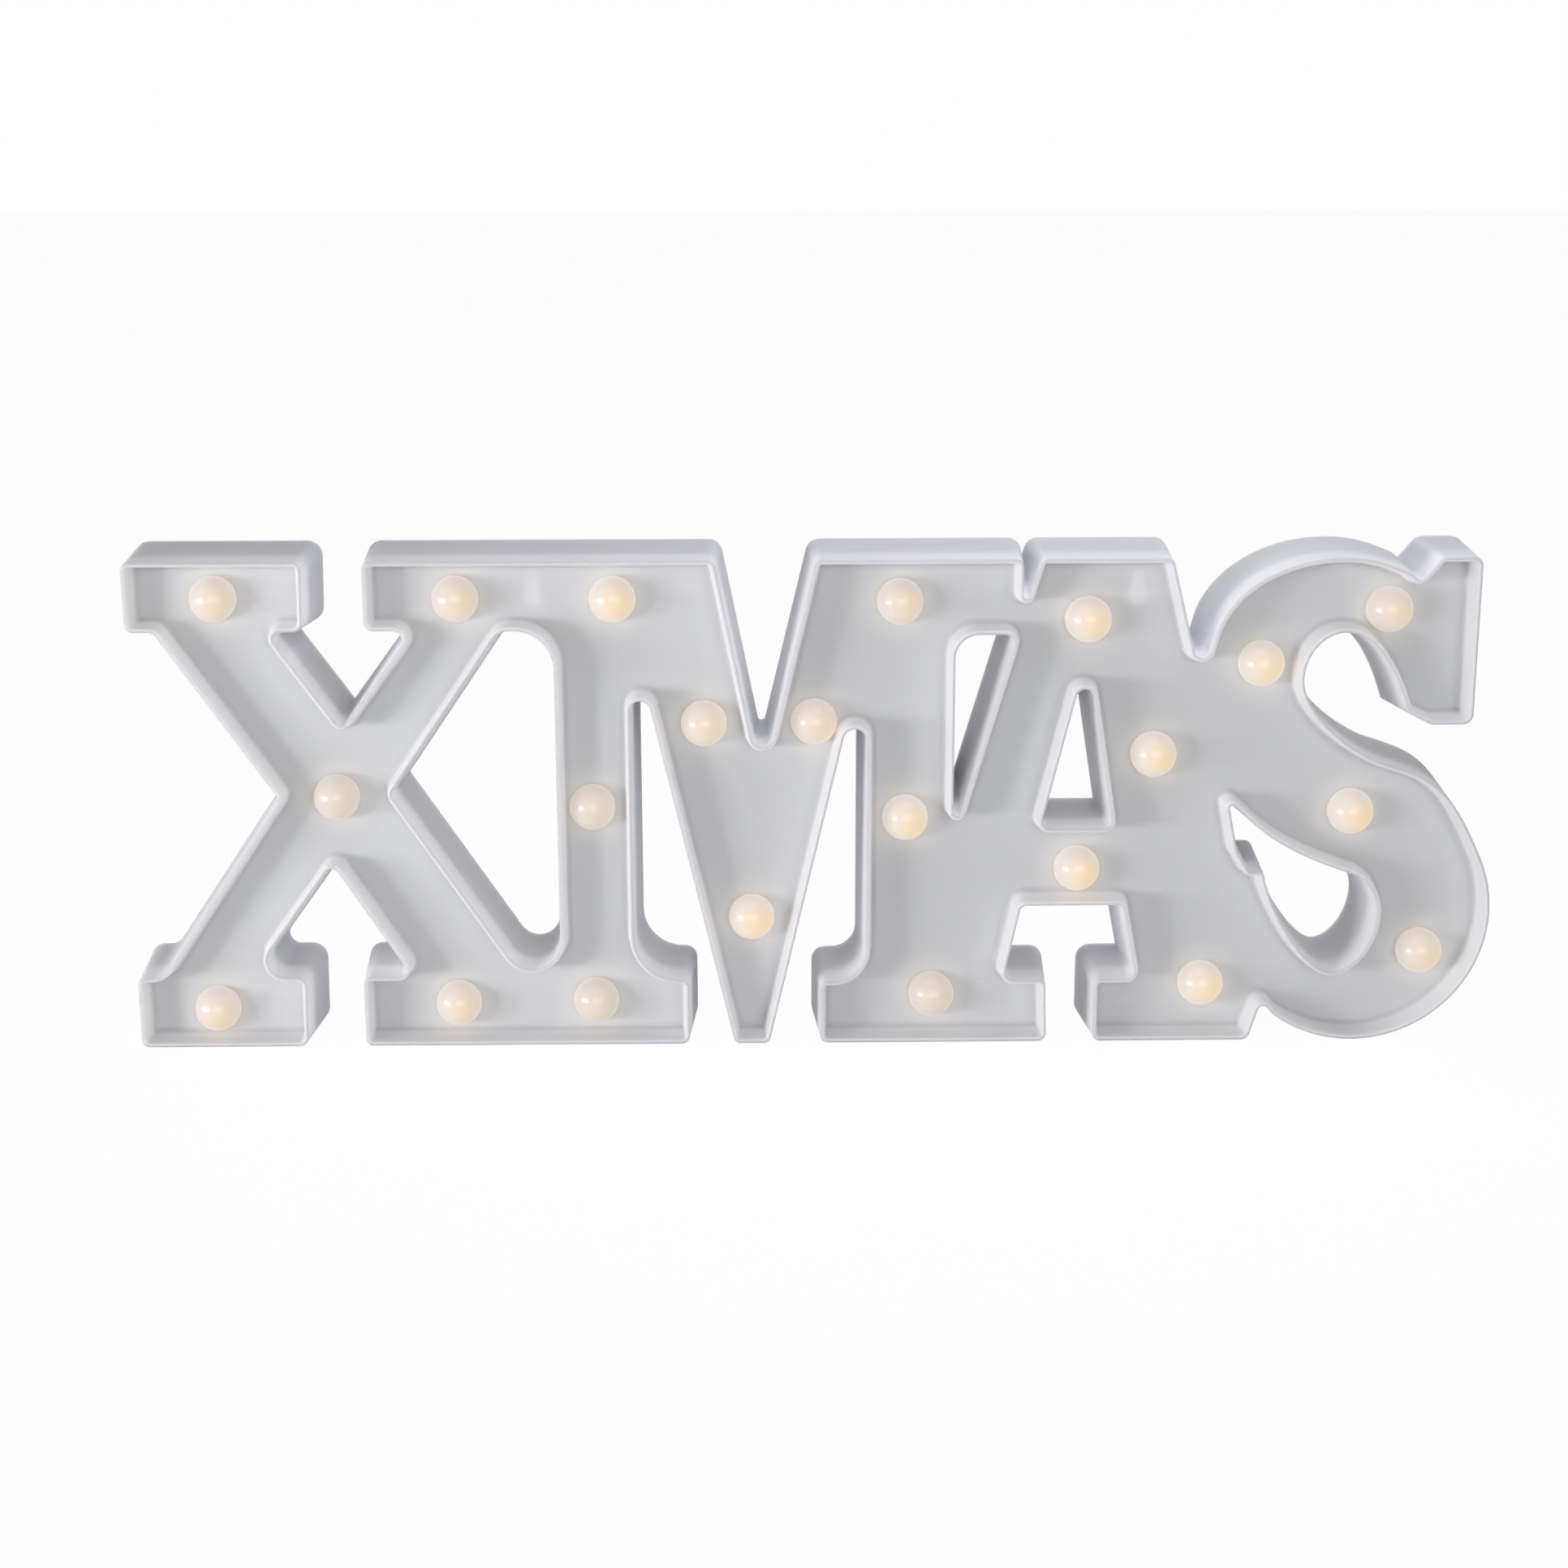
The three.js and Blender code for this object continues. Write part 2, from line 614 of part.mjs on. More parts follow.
// Back cover: a flush plate with the battery tub, the switch well and keyholes
function backCover() {
  const out = WALL_DRAFT - WALL - CLEARANCE;
  const plate = trimmedBelow(wordSolid(COVER_FRONT, out, BACK, out), WALL + CLEARANCE);
  const tub = block(
    BAY_LEFT - BAY_WALL, BAY_FLOOR - BAY_WALL, BAY_BOTTOM - BAY_WALL,
    BAY_RIGHT + BAY_WALL, COVER_FRONT + COVER_T / 2, BAY_TOP + BAY_WALL,
  );
  const bay = block(BAY_LEFT, BAY_FLOOR, BAY_BOTTOM, BAY_RIGHT, COVER_FRONT, BAY_TOP);
  const doorway = block(BAY_LEFT, COVER_FRONT - CLEARANCE, OPEN_BOTTOM, BAY_RIGHT, BACK + OVERRUN, OPEN_TOP);
  const wellFloor = BACK - WELL_DEPTH;
  const well = block(
    SWITCH_X - WELL_W / 2, wellFloor, SWITCH_Z - WELL_H / 2,
    SWITCH_X + WELL_W / 2, BACK + OVERRUN, SWITCH_Z + WELL_H / 2,
  );
  const wellBack = block(
    SWITCH_X - WELL_W / 2 - WELL_FLOOR, wellFloor - WELL_FLOOR, SWITCH_Z - WELL_H / 2 - WELL_FLOOR,
    SWITCH_X + WELL_W / 2 + WELL_FLOOR, BACK - COVER_T / 2, SWITCH_Z + WELL_H / 2 + WELL_FLOOR,
  );
  const slotHalf = (SLIDER_H + SLIDER_TRAVEL) / 2 + CLEARANCE;
  const slot = block(
    SWITCH_X - SLOT_W / 2, wellFloor - WELL_FLOOR - OVERRUN, SWITCH_Z - slotHalf,
    SWITCH_X + SLOT_W / 2, BACK, SWITCH_Z + slotHalf,
  );
  const padHalf = KEYHOLE_D / 2 + KEYHOLE_PAD_RIM;
  const padTop = KEYHOLE_L + KEYHOLE_SLOT / 2 + KEYHOLE_PAD_RIM / 2;
  const padBottom = KEYHOLE_D / 2 + KEYHOLE_PAD_RIM / 2;
  const pads = KEYHOLES.map(({ x, z }) => block(
    x - padHalf, COVER_FRONT - KEYHOLE_PAD_T, z - padBottom,
    x + padHalf, COVER_FRONT + COVER_T / 2, z + padTop,
  ));
  const keyholes = KEYHOLES.map(({ x, z }) =>
    keyhole(x, z, COVER_FRONT - KEYHOLE_PAD_T - OVERRUN, BACK + OVERRUN));
  const headTop = SCREW_HEAD_D / 2 + CLEARANCE;
  const shank = SCREW_D / 2 + CLEARANCE;
  const screwHoles = SCREWS.map(({ x, z }) => turned([
    [0, COVER_FRONT - OVERRUN],
    [shank, COVER_FRONT - OVERRUN],
    [shank, BACK - SCREW_HEAD_H - CLEARANCE],
    [headTop, BACK - CLEARANCE],
    [headTop, BACK + OVERRUN],
    [0, BACK + OVERRUN],
  ], x, z, BOSS_SIDES));
  return joined([plate, tub, wellBack, ...pads])
    .subtract(joined([bay, doorway, well, slot, ...keyholes, ...screwHoles]));
}

// Battery door: a flush lid with a hook tab at its lower edge, which lies
// between the cells, and a finger dip near its upper edge
function batteryDoor() {
  const edge = OPEN_BOTTOM + CLEARANCE;
  const lid = block(
    BAY_LEFT + CLEARANCE, DOOR_INNER, edge,
    BAY_RIGHT - CLEARANCE, BACK, OPEN_TOP - CLEARANCE,
  );
  const tabLeft = BAY_CENTRE_X - DOOR_TAB_W / 2;
  const tabRight = BAY_CENTRE_X + DOOR_TAB_W / 2;
  const tabInner = COVER_FRONT - CLEARANCE - DOOR_TAB_T;
  const neck = block(
    tabLeft, tabInner, edge,
    tabRight, DOOR_INNER + DOOR_TAB_T / 2, edge + DOOR_TAB_T,
  );
  const hook = block(
    tabLeft, tabInner, OPEN_BOTTOM - DOOR_TAB_REACH,
    tabRight, tabInner + DOOR_TAB_T, edge + DOOR_TAB_T,
  );
  const dip = block(
    BAY_CENTRE_X - DOOR_GRIP_W / 2, BACK - DOOR_GRIP_DEPTH, OPEN_TOP - CLEARANCE - DOOR_GRIP_H,
    BAY_CENTRE_X + DOOR_GRIP_W / 2, BACK + OVERRUN, OPEN_TOP,
  );
  return joined([lid, neck, hook]).subtract(dip);
}

// Geometry turned about an upright line, with the profile as [radius, height]
function upright(profile, x, y, sides) {
  const lathe = new THREE.LatheGeometry(
    profile.map(([radius, height]) => new THREE.Vector2(radius, height)),
    sides,
  );
  lathe.rotateX(Math.PI / 2);
  lathe.translate(x, y, 0);
  const solid = solidOf(lathe);
  return solid.volume() < 0 ? solidOf(flipped(lathe)) : solid;
}

// The two cells lie head to tail: each has a spring at its flat end
const SPRING_SEAT_LOW = BAY_BOTTOM + CLEARANCE + CONTACT_T;
const SPRING_SEAT_HIGH = BAY_TOP - CLEARANCE - CONTACT_T;
const CELL_ENDS = [
  { x: CELLS_X[0], flat: SPRING_SEAT_LOW + SPRING_L + CLEARANCE, way: 1 },
  { x: CELLS_X[1], flat: SPRING_SEAT_HIGH - SPRING_L - CLEARANCE, way: -1 },
];

function cell({ x, flat, way }) {
  const radius = CELL_D / 2;
  const bevel = CELL_NUB_L / 2;
  const shoulder = CELL_L - bevel;
  return upright([
    [0, flat],
    [radius - bevel, flat],
    [radius, flat + way * bevel],
    [radius, flat + way * shoulder],
    [radius - bevel, flat + way * CELL_L],
    [CELL_NUB_D / 2, flat + way * CELL_L],
    [CELL_NUB_D / 2, flat + way * (CELL_L + CELL_NUB_L)],
    [0, flat + way * (CELL_L + CELL_NUB_L)],
  ], x, CELL_Y, CELL_SIDES);
}

// A contact spring: a conical coil of round wire, wound from its wide seat
class Coil extends THREE.Curve {
  constructor(x, y, seat, way) {
    super();
    Object.assign(this, { x, y, seat, way });
  }

  getPoint(t, target = new THREE.Vector3()) {
    const angle = 2 * Math.PI * SPRING_TURNS * t;
    const radius = (SPRING_D / 2) * (1 - t / 2);
    const height = SPRING_WIRE / 2 + (SPRING_L - SPRING_WIRE) * t;
    return target.set(
      this.x + radius * Math.cos(angle),
      this.y + radius * Math.sin(angle),
      this.seat + this.way * height,
    );
  }
}

function contactSpring({ x, way }) {
  const seat = way > 0 ? SPRING_SEAT_LOW + CLEARANCE : SPRING_SEAT_HIGH - CLEARANCE;
  const section = new THREE.Shape();
  const coilSides = 5;
  for (let i = 0; i < coilSides; i += 1) {
    const angle = (2 * Math.PI * i) / coilSides;
    const across = (SPRING_WIRE / 2) * Math.cos(angle);
    const along = (SPRING_WIRE / 2) * Math.sin(angle);
    if (i === 0) section.moveTo(across, along);
    else section.lineTo(across, along);
  }
  const path = new Coil(x, CELL_Y, seat, way);
  const wire = new THREE.ExtrudeGeometry(section, {
    steps: SMALL_SIDES * SPRING_TURNS,
    bevelEnabled: false,
    extrudePath: path,
  });
  return solidOf(wire);
}

// Contact plates: the lower end holds a spring plate and a flat plate, each
// with its own lead, and the upper end one plate that bridges the two cells
function contactPlate(x0, x1, height) {
  return block(
    x0, BAY_FLOOR + CLEARANCE, height,
    x1, BAY_FLOOR + CLEARANCE + CONTACT_W, height + CONTACT_T,
  );
}

// Switch: it sits in the M's right leg, a body behind the well and a slider whose knob stands in the well
const WELL_FLOOR_INNER = BACK - WELL_DEPTH - WELL_FLOOR;
const SLIDER_FOOT_Y = WELL_FLOOR_INNER - CLEARANCE;

function switchBody() {
  const front = SLIDER_FOOT_Y - SLIDER_FOOT - CLEARANCE - SWITCH_BODY_T;
  const body = block(
    SWITCH_X - SWITCH_BODY_W / 2, front, SWITCH_Z - SWITCH_BODY_H / 2,
    SWITCH_X + SWITCH_BODY_W / 2, WELL_FLOOR_INNER - CLEARANCE, SWITCH_Z + SWITCH_BODY_H / 2,
  );
  const channelHalf = (SLIDER_H + SLIDER_TRAVEL) / 2 + 2 * CLEARANCE + SLIDER_FOOT;
  const channel = block(
    SWITCH_X - SLIDER_W, SLIDER_FOOT_Y - SLIDER_FOOT - CLEARANCE, SWITCH_Z - channelHalf,
    SWITCH_X + SLIDER_W, BACK, SWITCH_Z + channelHalf,
  );
  return body.subtract(channel);
}

function switchSlider() {
  const centre = SWITCH_Z - SLIDER_TRAVEL / 2;
  const knob = block(
    SWITCH_X - SLIDER_W / 2, SLIDER_FOOT_Y - SLIDER_FOOT / 2, centre - SLIDER_H / 2,
    SWITCH_X + SLIDER_W / 2, BACK - WELL_DEPTH + SLIDER_PROUD, centre + SLIDER_H / 2,
  );
  const foot = block(
    SWITCH_X - SLIDER_W + CLEARANCE, SLIDER_FOOT_Y - SLIDER_FOOT, centre - SLIDER_H / 2 - SLIDER_FOOT,
    SWITCH_X + SLIDER_W - CLEARANCE, SLIDER_FOOT_Y, centre + SLIDER_H / 2 + SLIDER_FOOT,
  );
  return knob.add(foot);
}

// Cover screw: countersunk head flush in the plate, shank down into its post
function coverScrew({ x, z }) {
  const head = BACK - CLEARANCE;
  return turned([
    [0, head - SCREW_L],
    [SCREW_D / 2, head - SCREW_L + SCREW_D / 2],
    [SCREW_D / 2, head - SCREW_HEAD_H],
    [SCREW_HEAD_D / 2, head],
    [0, head],
  ], x, z, SMALL_SIDES);
}

// Materials
const finish = (color, roughness, metalness) =>
  new THREE.MeshStandardMaterial({ color, roughness, metalness });
const whitePlastic = finish(0xe9e9ec, 0.5, 0);
const frostedCap = finish(0xfff1dc, 0.3, 0);
const clearLamp = finish(0xf7e7b8, 0.15, 0);
const springSteel = finish(0xc4c6c9, 0.3, 1);
const cellJacket = finish(0x3c4046, 0.4, 0.3);
const blackPlastic = finish(0x202124, 0.5, 0);

// Assembly, moved so that the origin is under the middle of the sign
const sign = new THREE.Group();

function addPiece(name, solid, material) {
  const mesh = new THREE.Mesh(geometryOf(solid), material);
  mesh.name = name;
  sign.add(mesh);
}

const numbered = (name, i) => `${name}_${String(i + 1).padStart(2, "0")}`;

addPiece("letter_shell", letterShell(), whitePlastic);
addPiece("back_cover", backCover(), whitePlastic);
LAMPS.forEach((lamp, i) => addPiece(numbered("lamp_cap", i), lampCap(lamp), frostedCap));

const [x0, x1, x2] = X_LAMPS;
const [m0, m1, m2, m3, m4, m5, m6, m7, m8, m9, m10] = M_LAMPS;
const [a0, a1, a2, a3] = A_LAMPS;
const [s0, s1, s2, s3] = S_LAMPS;
const leftPeak = place(M_BOX, [0.423, 0.912]);
const rightPeak = place(M_BOX, [0.699, 0.92]);
const legBend = place(M_BOX, [0.894, 0.317]);
const aBend = place(A_BOX, [0.557, 0.408]);
const archBend = place(S_BOX, [0.36, 0.9]);
addPiece(
  "lamp_string_x",
  lampString([...X_LAMPS, m0, m8], [[x0, x1], [x1, x2], [x1, m0], [x1, m8]]),
  clearLamp,
);
addPiece(
  "lamp_string_m",
  lampString([m1, m2, m3, m4, m5, m7, m9], [
    [m9, m5], [m5, m1], [m1, leftPeak], [leftPeak, m2],
    [m2, m7], [m7, m3], [m3, rightPeak], [rightPeak, m4],
  ]),
  clearLamp,
);
addPiece(
  "lamp_string_a",
  lampString([m6, m10, ...A_LAMPS], [
    [m10, legBend], [m6, legBend], [legBend, a2],
    [a2, aBend], [aBend, a1], [a1, a0], [a1, a3],
  ]),
  clearLamp,
);
addPiece(
  "lamp_string_s",
  lampString(S_LAMPS, [[s0, archBend], [archBend, s1], [s0, s2], [s2, s3]]),
  clearLamp,
);

addPiece("battery_door", batteryDoor(), whitePlastic);
CELL_ENDS.forEach((end, i) => {
  addPiece(numbered("battery", i), cell(end), cellJacket);
  addPiece(numbered("contact_spring", i), contactSpring(end), springSteel);
});
const plateHalf = CELL_D / 2 - CLEARANCE;
addPiece(
  "contact_negative",
  contactPlate(CELLS_X[0] - plateHalf, CELLS_X[0] + plateHalf, BAY_BOTTOM + CLEARANCE),
  springSteel,
);
addPiece(
  "contact_positive",
  contactPlate(CELLS_X[1] - plateHalf, CELLS_X[1] + plateHalf, BAY_BOTTOM + CLEARANCE),
  springSteel,
);
addPiece(
  "contact_bridge",
  contactPlate(CELLS_X[0] - plateHalf, CELLS_X[1] + plateHalf, BAY_TOP - CLEARANCE - CONTACT_T),
  springSteel,
);
addPiece("switch_body", switchBody(), blackPlastic);
addPiece("switch_slider", switchSlider(), blackPlastic);
SCREWS.forEach((screw, i) => addPiece(numbered("cover_screw", i), coverScrew(screw), springSteel));

sign.position.x = -WORD_W / 2;

export default sign;
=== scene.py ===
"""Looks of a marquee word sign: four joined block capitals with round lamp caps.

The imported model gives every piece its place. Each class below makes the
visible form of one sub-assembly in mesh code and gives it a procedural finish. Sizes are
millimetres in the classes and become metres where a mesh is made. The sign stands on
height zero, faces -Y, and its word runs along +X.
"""

import logging
import math
from collections.abc import Sequence
from dataclasses import dataclass, replace
from enum import Enum

import bmesh
import bpy
from mathutils import Matrix, Vector
from mathutils.geometry import delaunay_2d_cdt


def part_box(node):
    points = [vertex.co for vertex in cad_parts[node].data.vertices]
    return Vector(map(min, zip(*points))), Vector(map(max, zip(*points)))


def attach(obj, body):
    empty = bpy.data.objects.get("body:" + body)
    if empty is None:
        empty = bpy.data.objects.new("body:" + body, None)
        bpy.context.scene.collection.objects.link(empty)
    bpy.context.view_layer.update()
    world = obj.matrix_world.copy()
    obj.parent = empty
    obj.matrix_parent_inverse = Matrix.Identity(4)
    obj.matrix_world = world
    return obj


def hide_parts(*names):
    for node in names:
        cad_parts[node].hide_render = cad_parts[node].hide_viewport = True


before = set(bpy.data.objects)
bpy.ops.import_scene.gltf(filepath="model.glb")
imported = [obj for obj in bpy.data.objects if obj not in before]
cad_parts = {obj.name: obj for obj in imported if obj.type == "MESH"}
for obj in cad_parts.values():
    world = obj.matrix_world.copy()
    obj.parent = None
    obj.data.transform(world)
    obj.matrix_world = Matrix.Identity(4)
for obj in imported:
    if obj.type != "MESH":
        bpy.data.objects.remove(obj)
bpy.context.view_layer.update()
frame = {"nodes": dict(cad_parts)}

MM = 0.001
LOG = logging.getLogger("sign")

# Places closer than this are the same, in millimetres
NEAR = 0.01
SAME_POINT = 1e-7
# Makes the flat filler return every triangle, with the areas that it lies in
ALL_TRIANGLES = 0

Point = tuple[float, float]
Box = tuple[float, float, float, float]
Ring = list[bmesh.types.BMVert]


# Shapes -----------------------------------------------------------------------------


class Along(Enum):
    """The line that a skin's rings are stacked along."""

    ACROSS = "x"
    DEPTH = "y"
    UP = "z"


@dataclass(frozen=True)
class Corner:
    """One corner of a flat outline, in millimetres, with its fillet radius."""

    x: float
    z: float
    round: float = 0.0


def turn_of(before: Vector, after: Vector) -> float:
    """Gives the signed cross product of two flat directions.

    Args:
        before: the first direction.
        after: the second direction.

    Returns:
        Positive where the way from the first to the second is anticlockwise.
    """
    return before.x * after.y - before.y * after.x


def moved_out(loop: Sequence[Corner], out: float) -> list[Vector]:
    """Moves every side of a closed loop out by one distance.

    Args:
        loop: the corners, anticlockwise round solid and clockwise round an opening.
        out: the distance, negative into the solid.

    Returns:
        The same number of corners, mitred.
    """
    spots = [Vector((corner.x, corner.z)) for corner in loop]
    count = len(spots)
    normals = []
    for i, spot in enumerate(spots):
        side = (spots[(i + 1) % count] - spot).normalized()
        normals.append(Vector((side.y, -side.x)))
    moved = []
    for i, spot in enumerate(spots):
        before, after = normals[i - 1], normals[i]
        moved.append(spot + (before + after) * (out / (1 + before.dot(after))))
    return moved


def half_angle(last: Vector, following: Vector) -> float:
    """Gives half the angle between two directions, in radians."""
    return math.acos(max(-1.0, min(1.0, last.dot(following)))) / 2


def fillet(spot: Vector, last: Vector, following: Vector, radius: float,
           steps: int) -> list[Point]:
    """Rounds one corner.

    Args:
        spot: the sharp corner.
        last: the direction to the corner before.
        following: the direction to the corner after.
        radius: the fillet's radius.
        steps: how many steps it takes.

    Returns:
        The points of the fillet in order.
    """
    half = half_angle(last, following)
    centre = spot + (last + following).normalized() * (radius / math.sin(half))
    first = spot + last * (radius / math.tan(half)) - centre
    turn = (math.pi - 2 * half) * math.copysign(1.0, turn_of(following, last))
    points = []
    for k in range(steps + 1):
        spoke = first.copy()
        spoke.rotate(Matrix.Rotation(turn * k / steps, 2))
        points.append((centre.x + spoke.x, centre.y + spoke.y))
    return points


@dataclass(frozen=True)
class Rounding:
    """How finely and how far an outline's corners are rounded."""

    step_deg: float = 10.0
    wide_step_deg: float = 6.0
    wide_from: float = 7.0
    least: float = 0.3
    side_share: float = 0.98

    def ring(self, loop: Sequence[Corner], out: float) -> list[Point]:
        """Moves a loop out and rounds each corner to match.

        Args:
            loop: the corners of the loop at the front.
            out: how far its sides are moved out.

        Returns:
            The rounded loop, with a number of points that doesn't depend on out.
        """
        count = len(loop)
        moved = moved_out(loop, out)
        to_last, to_next, half, cut, radius = [], [], [], [], []
        for i, spot in enumerate(moved):
            last = (moved[i - 1] - spot).normalized()
            following = (moved[(i + 1) % count] - spot).normalized()
            outward = turn_of(following, last) > 0
            wanted = max(loop[i].round + (out if outward else -out), self.least)
            to_last.append(last)
            to_next.append(following)
            half.append(half_angle(last, following))
            radius.append(wanted if loop[i].round > 0 else 0.0)
            cut.append(radius[i] / math.tan(half[i]))
        room = []
        for i, spot in enumerate(moved):
            side = (moved[(i + 1) % count] - spot).length
            used = cut[i] + cut[(i + 1) % count]
            room.append(min(1.0, self.side_share * side / used) if used > 0 else 1.0)
        points: list[Point] = []
        for i, spot in enumerate(moved):
            if radius[i] == 0:
                points.append((spot.x, spot.y))
                continue
            points += fillet(spot, to_last[i], to_next[i],
                             radius[i] * min(room[i], room[i - 1]),
                             self.steps_for(half[i], loop[i].round))
        return points

    def steps_for(self, half: float, nominal: float) -> int:
        """Gives a fillet's steps from half its corner's angle and its radius in front."""
        step = self.wide_step_deg if nominal > self.wide_from else self.step_deg
        return max(2, round(math.degrees(math.pi - 2 * half) / step))


def arc(x: float, z: float, radius: float, start: float, end: float,
        steps: int) -> list[Point]:
    """Gives the points of an arc, both ends included.

    Args:
        x: the centre's first coordinate.
        z: the centre's second coordinate.
        radius: its radius.
        start: where it starts, in degrees anticlockwise from the first axis.
        end: where it ends.
        steps: how many steps it takes.

    Returns:
        The points.
    """
    turns = [math.radians(start + (end - start) * k / steps) for k in range(steps + 1)]
    return [(x + radius * math.cos(a), z + radius * math.sin(a)) for a in turns]


def circle(x: float, z: float, radius: float, sides: int) -> list[Point]:
    """Gives the points of a circle, anticlockwise."""
    return arc(x, z, radius, 0, 360, sides)[:-1]


def rounded_box(x0: float, z0: float, x1: float, z1: float, radius: float,
                steps: int = 4) -> list[Point]:
    """Gives a rectangle with rounded corners, anticlockwise.

    Args:
        x0: its left side.
        z0: its lower side.
        x1: its right side.
        z1: its upper side.
        radius: the corner radius.
        steps: the steps in each corner.

    Returns:
        The points.
    """
    centres = [(x1 - radius, z0 + radius), (x1 - radius, z1 - radius),
               (x0 + radius, z1 - radius), (x0 + radius, z0 + radius)]
    points = []
    for quarter, (cx, cz) in enumerate(centres):
        points += arc(cx, cz, radius, 90 * quarter - 90, 90 * quarter, steps)
    return points


def keyhole(x: float, z: float, head_r: float, slot_r: float, rise: float,
            slot_steps: int = 12, head_steps: int = 28) -> list[Point]:
    """Gives a keyhole's outline, anticlockwise.

    Args:
        x: the head hole's middle across.
        z: the head hole's middle up.
        head_r: its radius.
        slot_r: half the slot's width.
        rise: how far the slot's round end stands above the head's middle.
        slot_steps: the steps of the slot's round end.
        head_steps: the steps of the head hole.

    Returns:
        The points.
    """
    split = math.degrees(math.asin(slot_r / head_r))
    return (arc(x, z + rise, slot_r, 0, 180, slot_steps)
            + arc(x, z, head_r, 90 + split, 450 - split, head_steps))


def rounded_line(path: Sequence[tuple[float, float, float]], steps: int) -> list[Point]:
    """Rounds the inner corners of an open line.

    Args:
        path: the corners as first coordinate, second coordinate and fillet radius.
        steps: the steps in each fillet.

    Returns:
        The rounded line, its two ends kept.
    """
    points: list[Point] = [path[0][:2]]
    for (ax, ay, _), (bx, by, radius), (cx, cy, _) in zip(path, path[1:], path[2:]):
        if radius <= 0:
            points.append((bx, by))
            continue
        spot = Vector((bx, by))
        last = (Vector((ax, ay)) - spot).normalized()
        following = (Vector((cx, cy)) - spot).normalized()
        points += fillet(spot, last, following, radius, steps)
    points.append(path[-1][:2])
    return points


class Skin:
    """Builds one mesh from rings of points, strips between them and flat caps."""

    def __init__(self, along: Along = Along.DEPTH) -> None:
        """Starts an empty skin.

        Args:
            along: the line that its rings are stacked along.
        """
        self.along = along
        self.mesh = bmesh.new()
        self.slot = 0

    def vertex(self, point: Point, level: float) -> bmesh.types.BMVert:
        """Adds one vertex.

        Args:
            point: its two coordinates in the ring's plane, in millimetres.
            level: where the plane is.

        Returns:
            The vertex.
        """
        a, b = point
        place = {Along.ACROSS: (level, a, b), Along.DEPTH: (a, level, b),
                 Along.UP: (a, b, level)}[self.along]
        return self.mesh.verts.new([MM * value for value in place])

    def ring(self, points: Sequence[Point], level: float,
             lowest: float | None = None) -> Ring:
        """Adds a ring of vertices.

        Args:
            points: the ring, in millimetres.
            level: where its plane is.
            lowest: the least second coordinate that a point may have, if any.

        Returns:
            The vertices in order.
        """
        if lowest is not None:
            points = [(a, max(b, lowest)) for a, b in points]
        return [self.vertex(point, level) for point in points]

    def face(self, corners: Ring) -> None:
        """Adds one face in the material slot in use, unless it has no area.

        Args:
            corners: its corners in order, of which neighbours may be the same.
        """
        kept = list(dict.fromkeys(corners))
        if len(kept) > 2 and self.mesh.faces.get(kept) is None:
            made = self.mesh.faces.new(kept)
            made.material_index = self.slot
            made.smooth = True

    def strip(self, first: Ring, second: Ring) -> None:
        """Joins two rings with faces.

        Args:
            first: one ring.
            second: the other, with as many vertices.
        """
        count = len(first)
        for i in range(count):
            after = (i + 1) % count
            self.face([first[i], second[i], second[after], first[after]])

    def stack(self, rings: Sequence[Ring]) -> None:
        """Joins each ring to the next."""
        for first, second in zip(rings, rings[1:]):
            self.strip(first, second)

    def sleeve(self, levels: Sequence[Sequence[Ring]]) -> None:
        """Joins every ring of each level to its own ring of the next.

        Args:
            levels: the rings of each level, in one order.
        """
        for level, following in zip(levels, levels[1:]):
            for first, second in zip(level, following):
                self.strip(first, second)

    def closed(self, rings: Sequence[Ring]) -> None:
        """Joins each ring to the next and closes both ends.

        Args:
            rings: the rings in order.
        """
        self.stack(rings)
        self.cap([rings[0]])
        self.cap([rings[-1]])

    def cap(self, rings: Sequence[Ring]) -> None:
        """Closes the flat area inside the first ring and outside the others.

        Args:
            rings: the outer ring and the rings of its openings.
        """
        verts = [vert for ring in rings for vert in ring]
        spots = [self.flat(vert) for vert in verts]
        areas, start = [], 0
        for ring in rings:
            order = list(range(start, start + len(ring)))
            start += len(ring)
            area = sum(turn_of(spots[i], spots[j])
                       for i, j in zip(order, order[1:] + order[:1]))
            areas.append(order if area > 0 else order[::-1])
        found = delaunay_2d_cdt(spots, [], areas, ALL_TRIANGLES, SAME_POINT)
        if len(found[0]) != len(spots):
            LOG.warning("a cap has %d points and not %d", len(found[0]), len(spots))
        origin = [next((i for i in source if i < len(verts)), None) for source in found[3]]
        for triangle, inside in zip(found[2], found[5]):
            picked = [origin[i] for i in triangle]
            if set(inside) == {0} and None not in picked:
                self.face([verts[i] for i in picked])

    def flat(self, vert: bmesh.types.BMVert) -> Vector:
        """Gives a vertex's place in the plane of its ring.

        Args:
            vert: the vertex.

        Returns:
            Its two coordinates there, in millimetres.
        """
        x, y, z = vert.co / MM
        return {Along.ACROSS: Vector((y, z)), Along.DEPTH: Vector((x, z)),
                Along.UP: Vector((x, y))}[self.along]

    def turned(self, profile: Sequence[Point], x: float, z: float,
               sides: int) -> list[Ring]:
        """Turns a profile about a line through x, z, and gives its rings unjoined.

        Args:
            profile: radius and level, from one end to the other.
            x: the line's first coordinate.
            z: the line's second coordinate.
            sides: how many faces go round.

        Returns:
            The rings.
        """
        return [self.ring(circle(x, z, radius, sides), level) if radius
                else [self.vertex((x, z), level)] * sides for radius, level in profile]

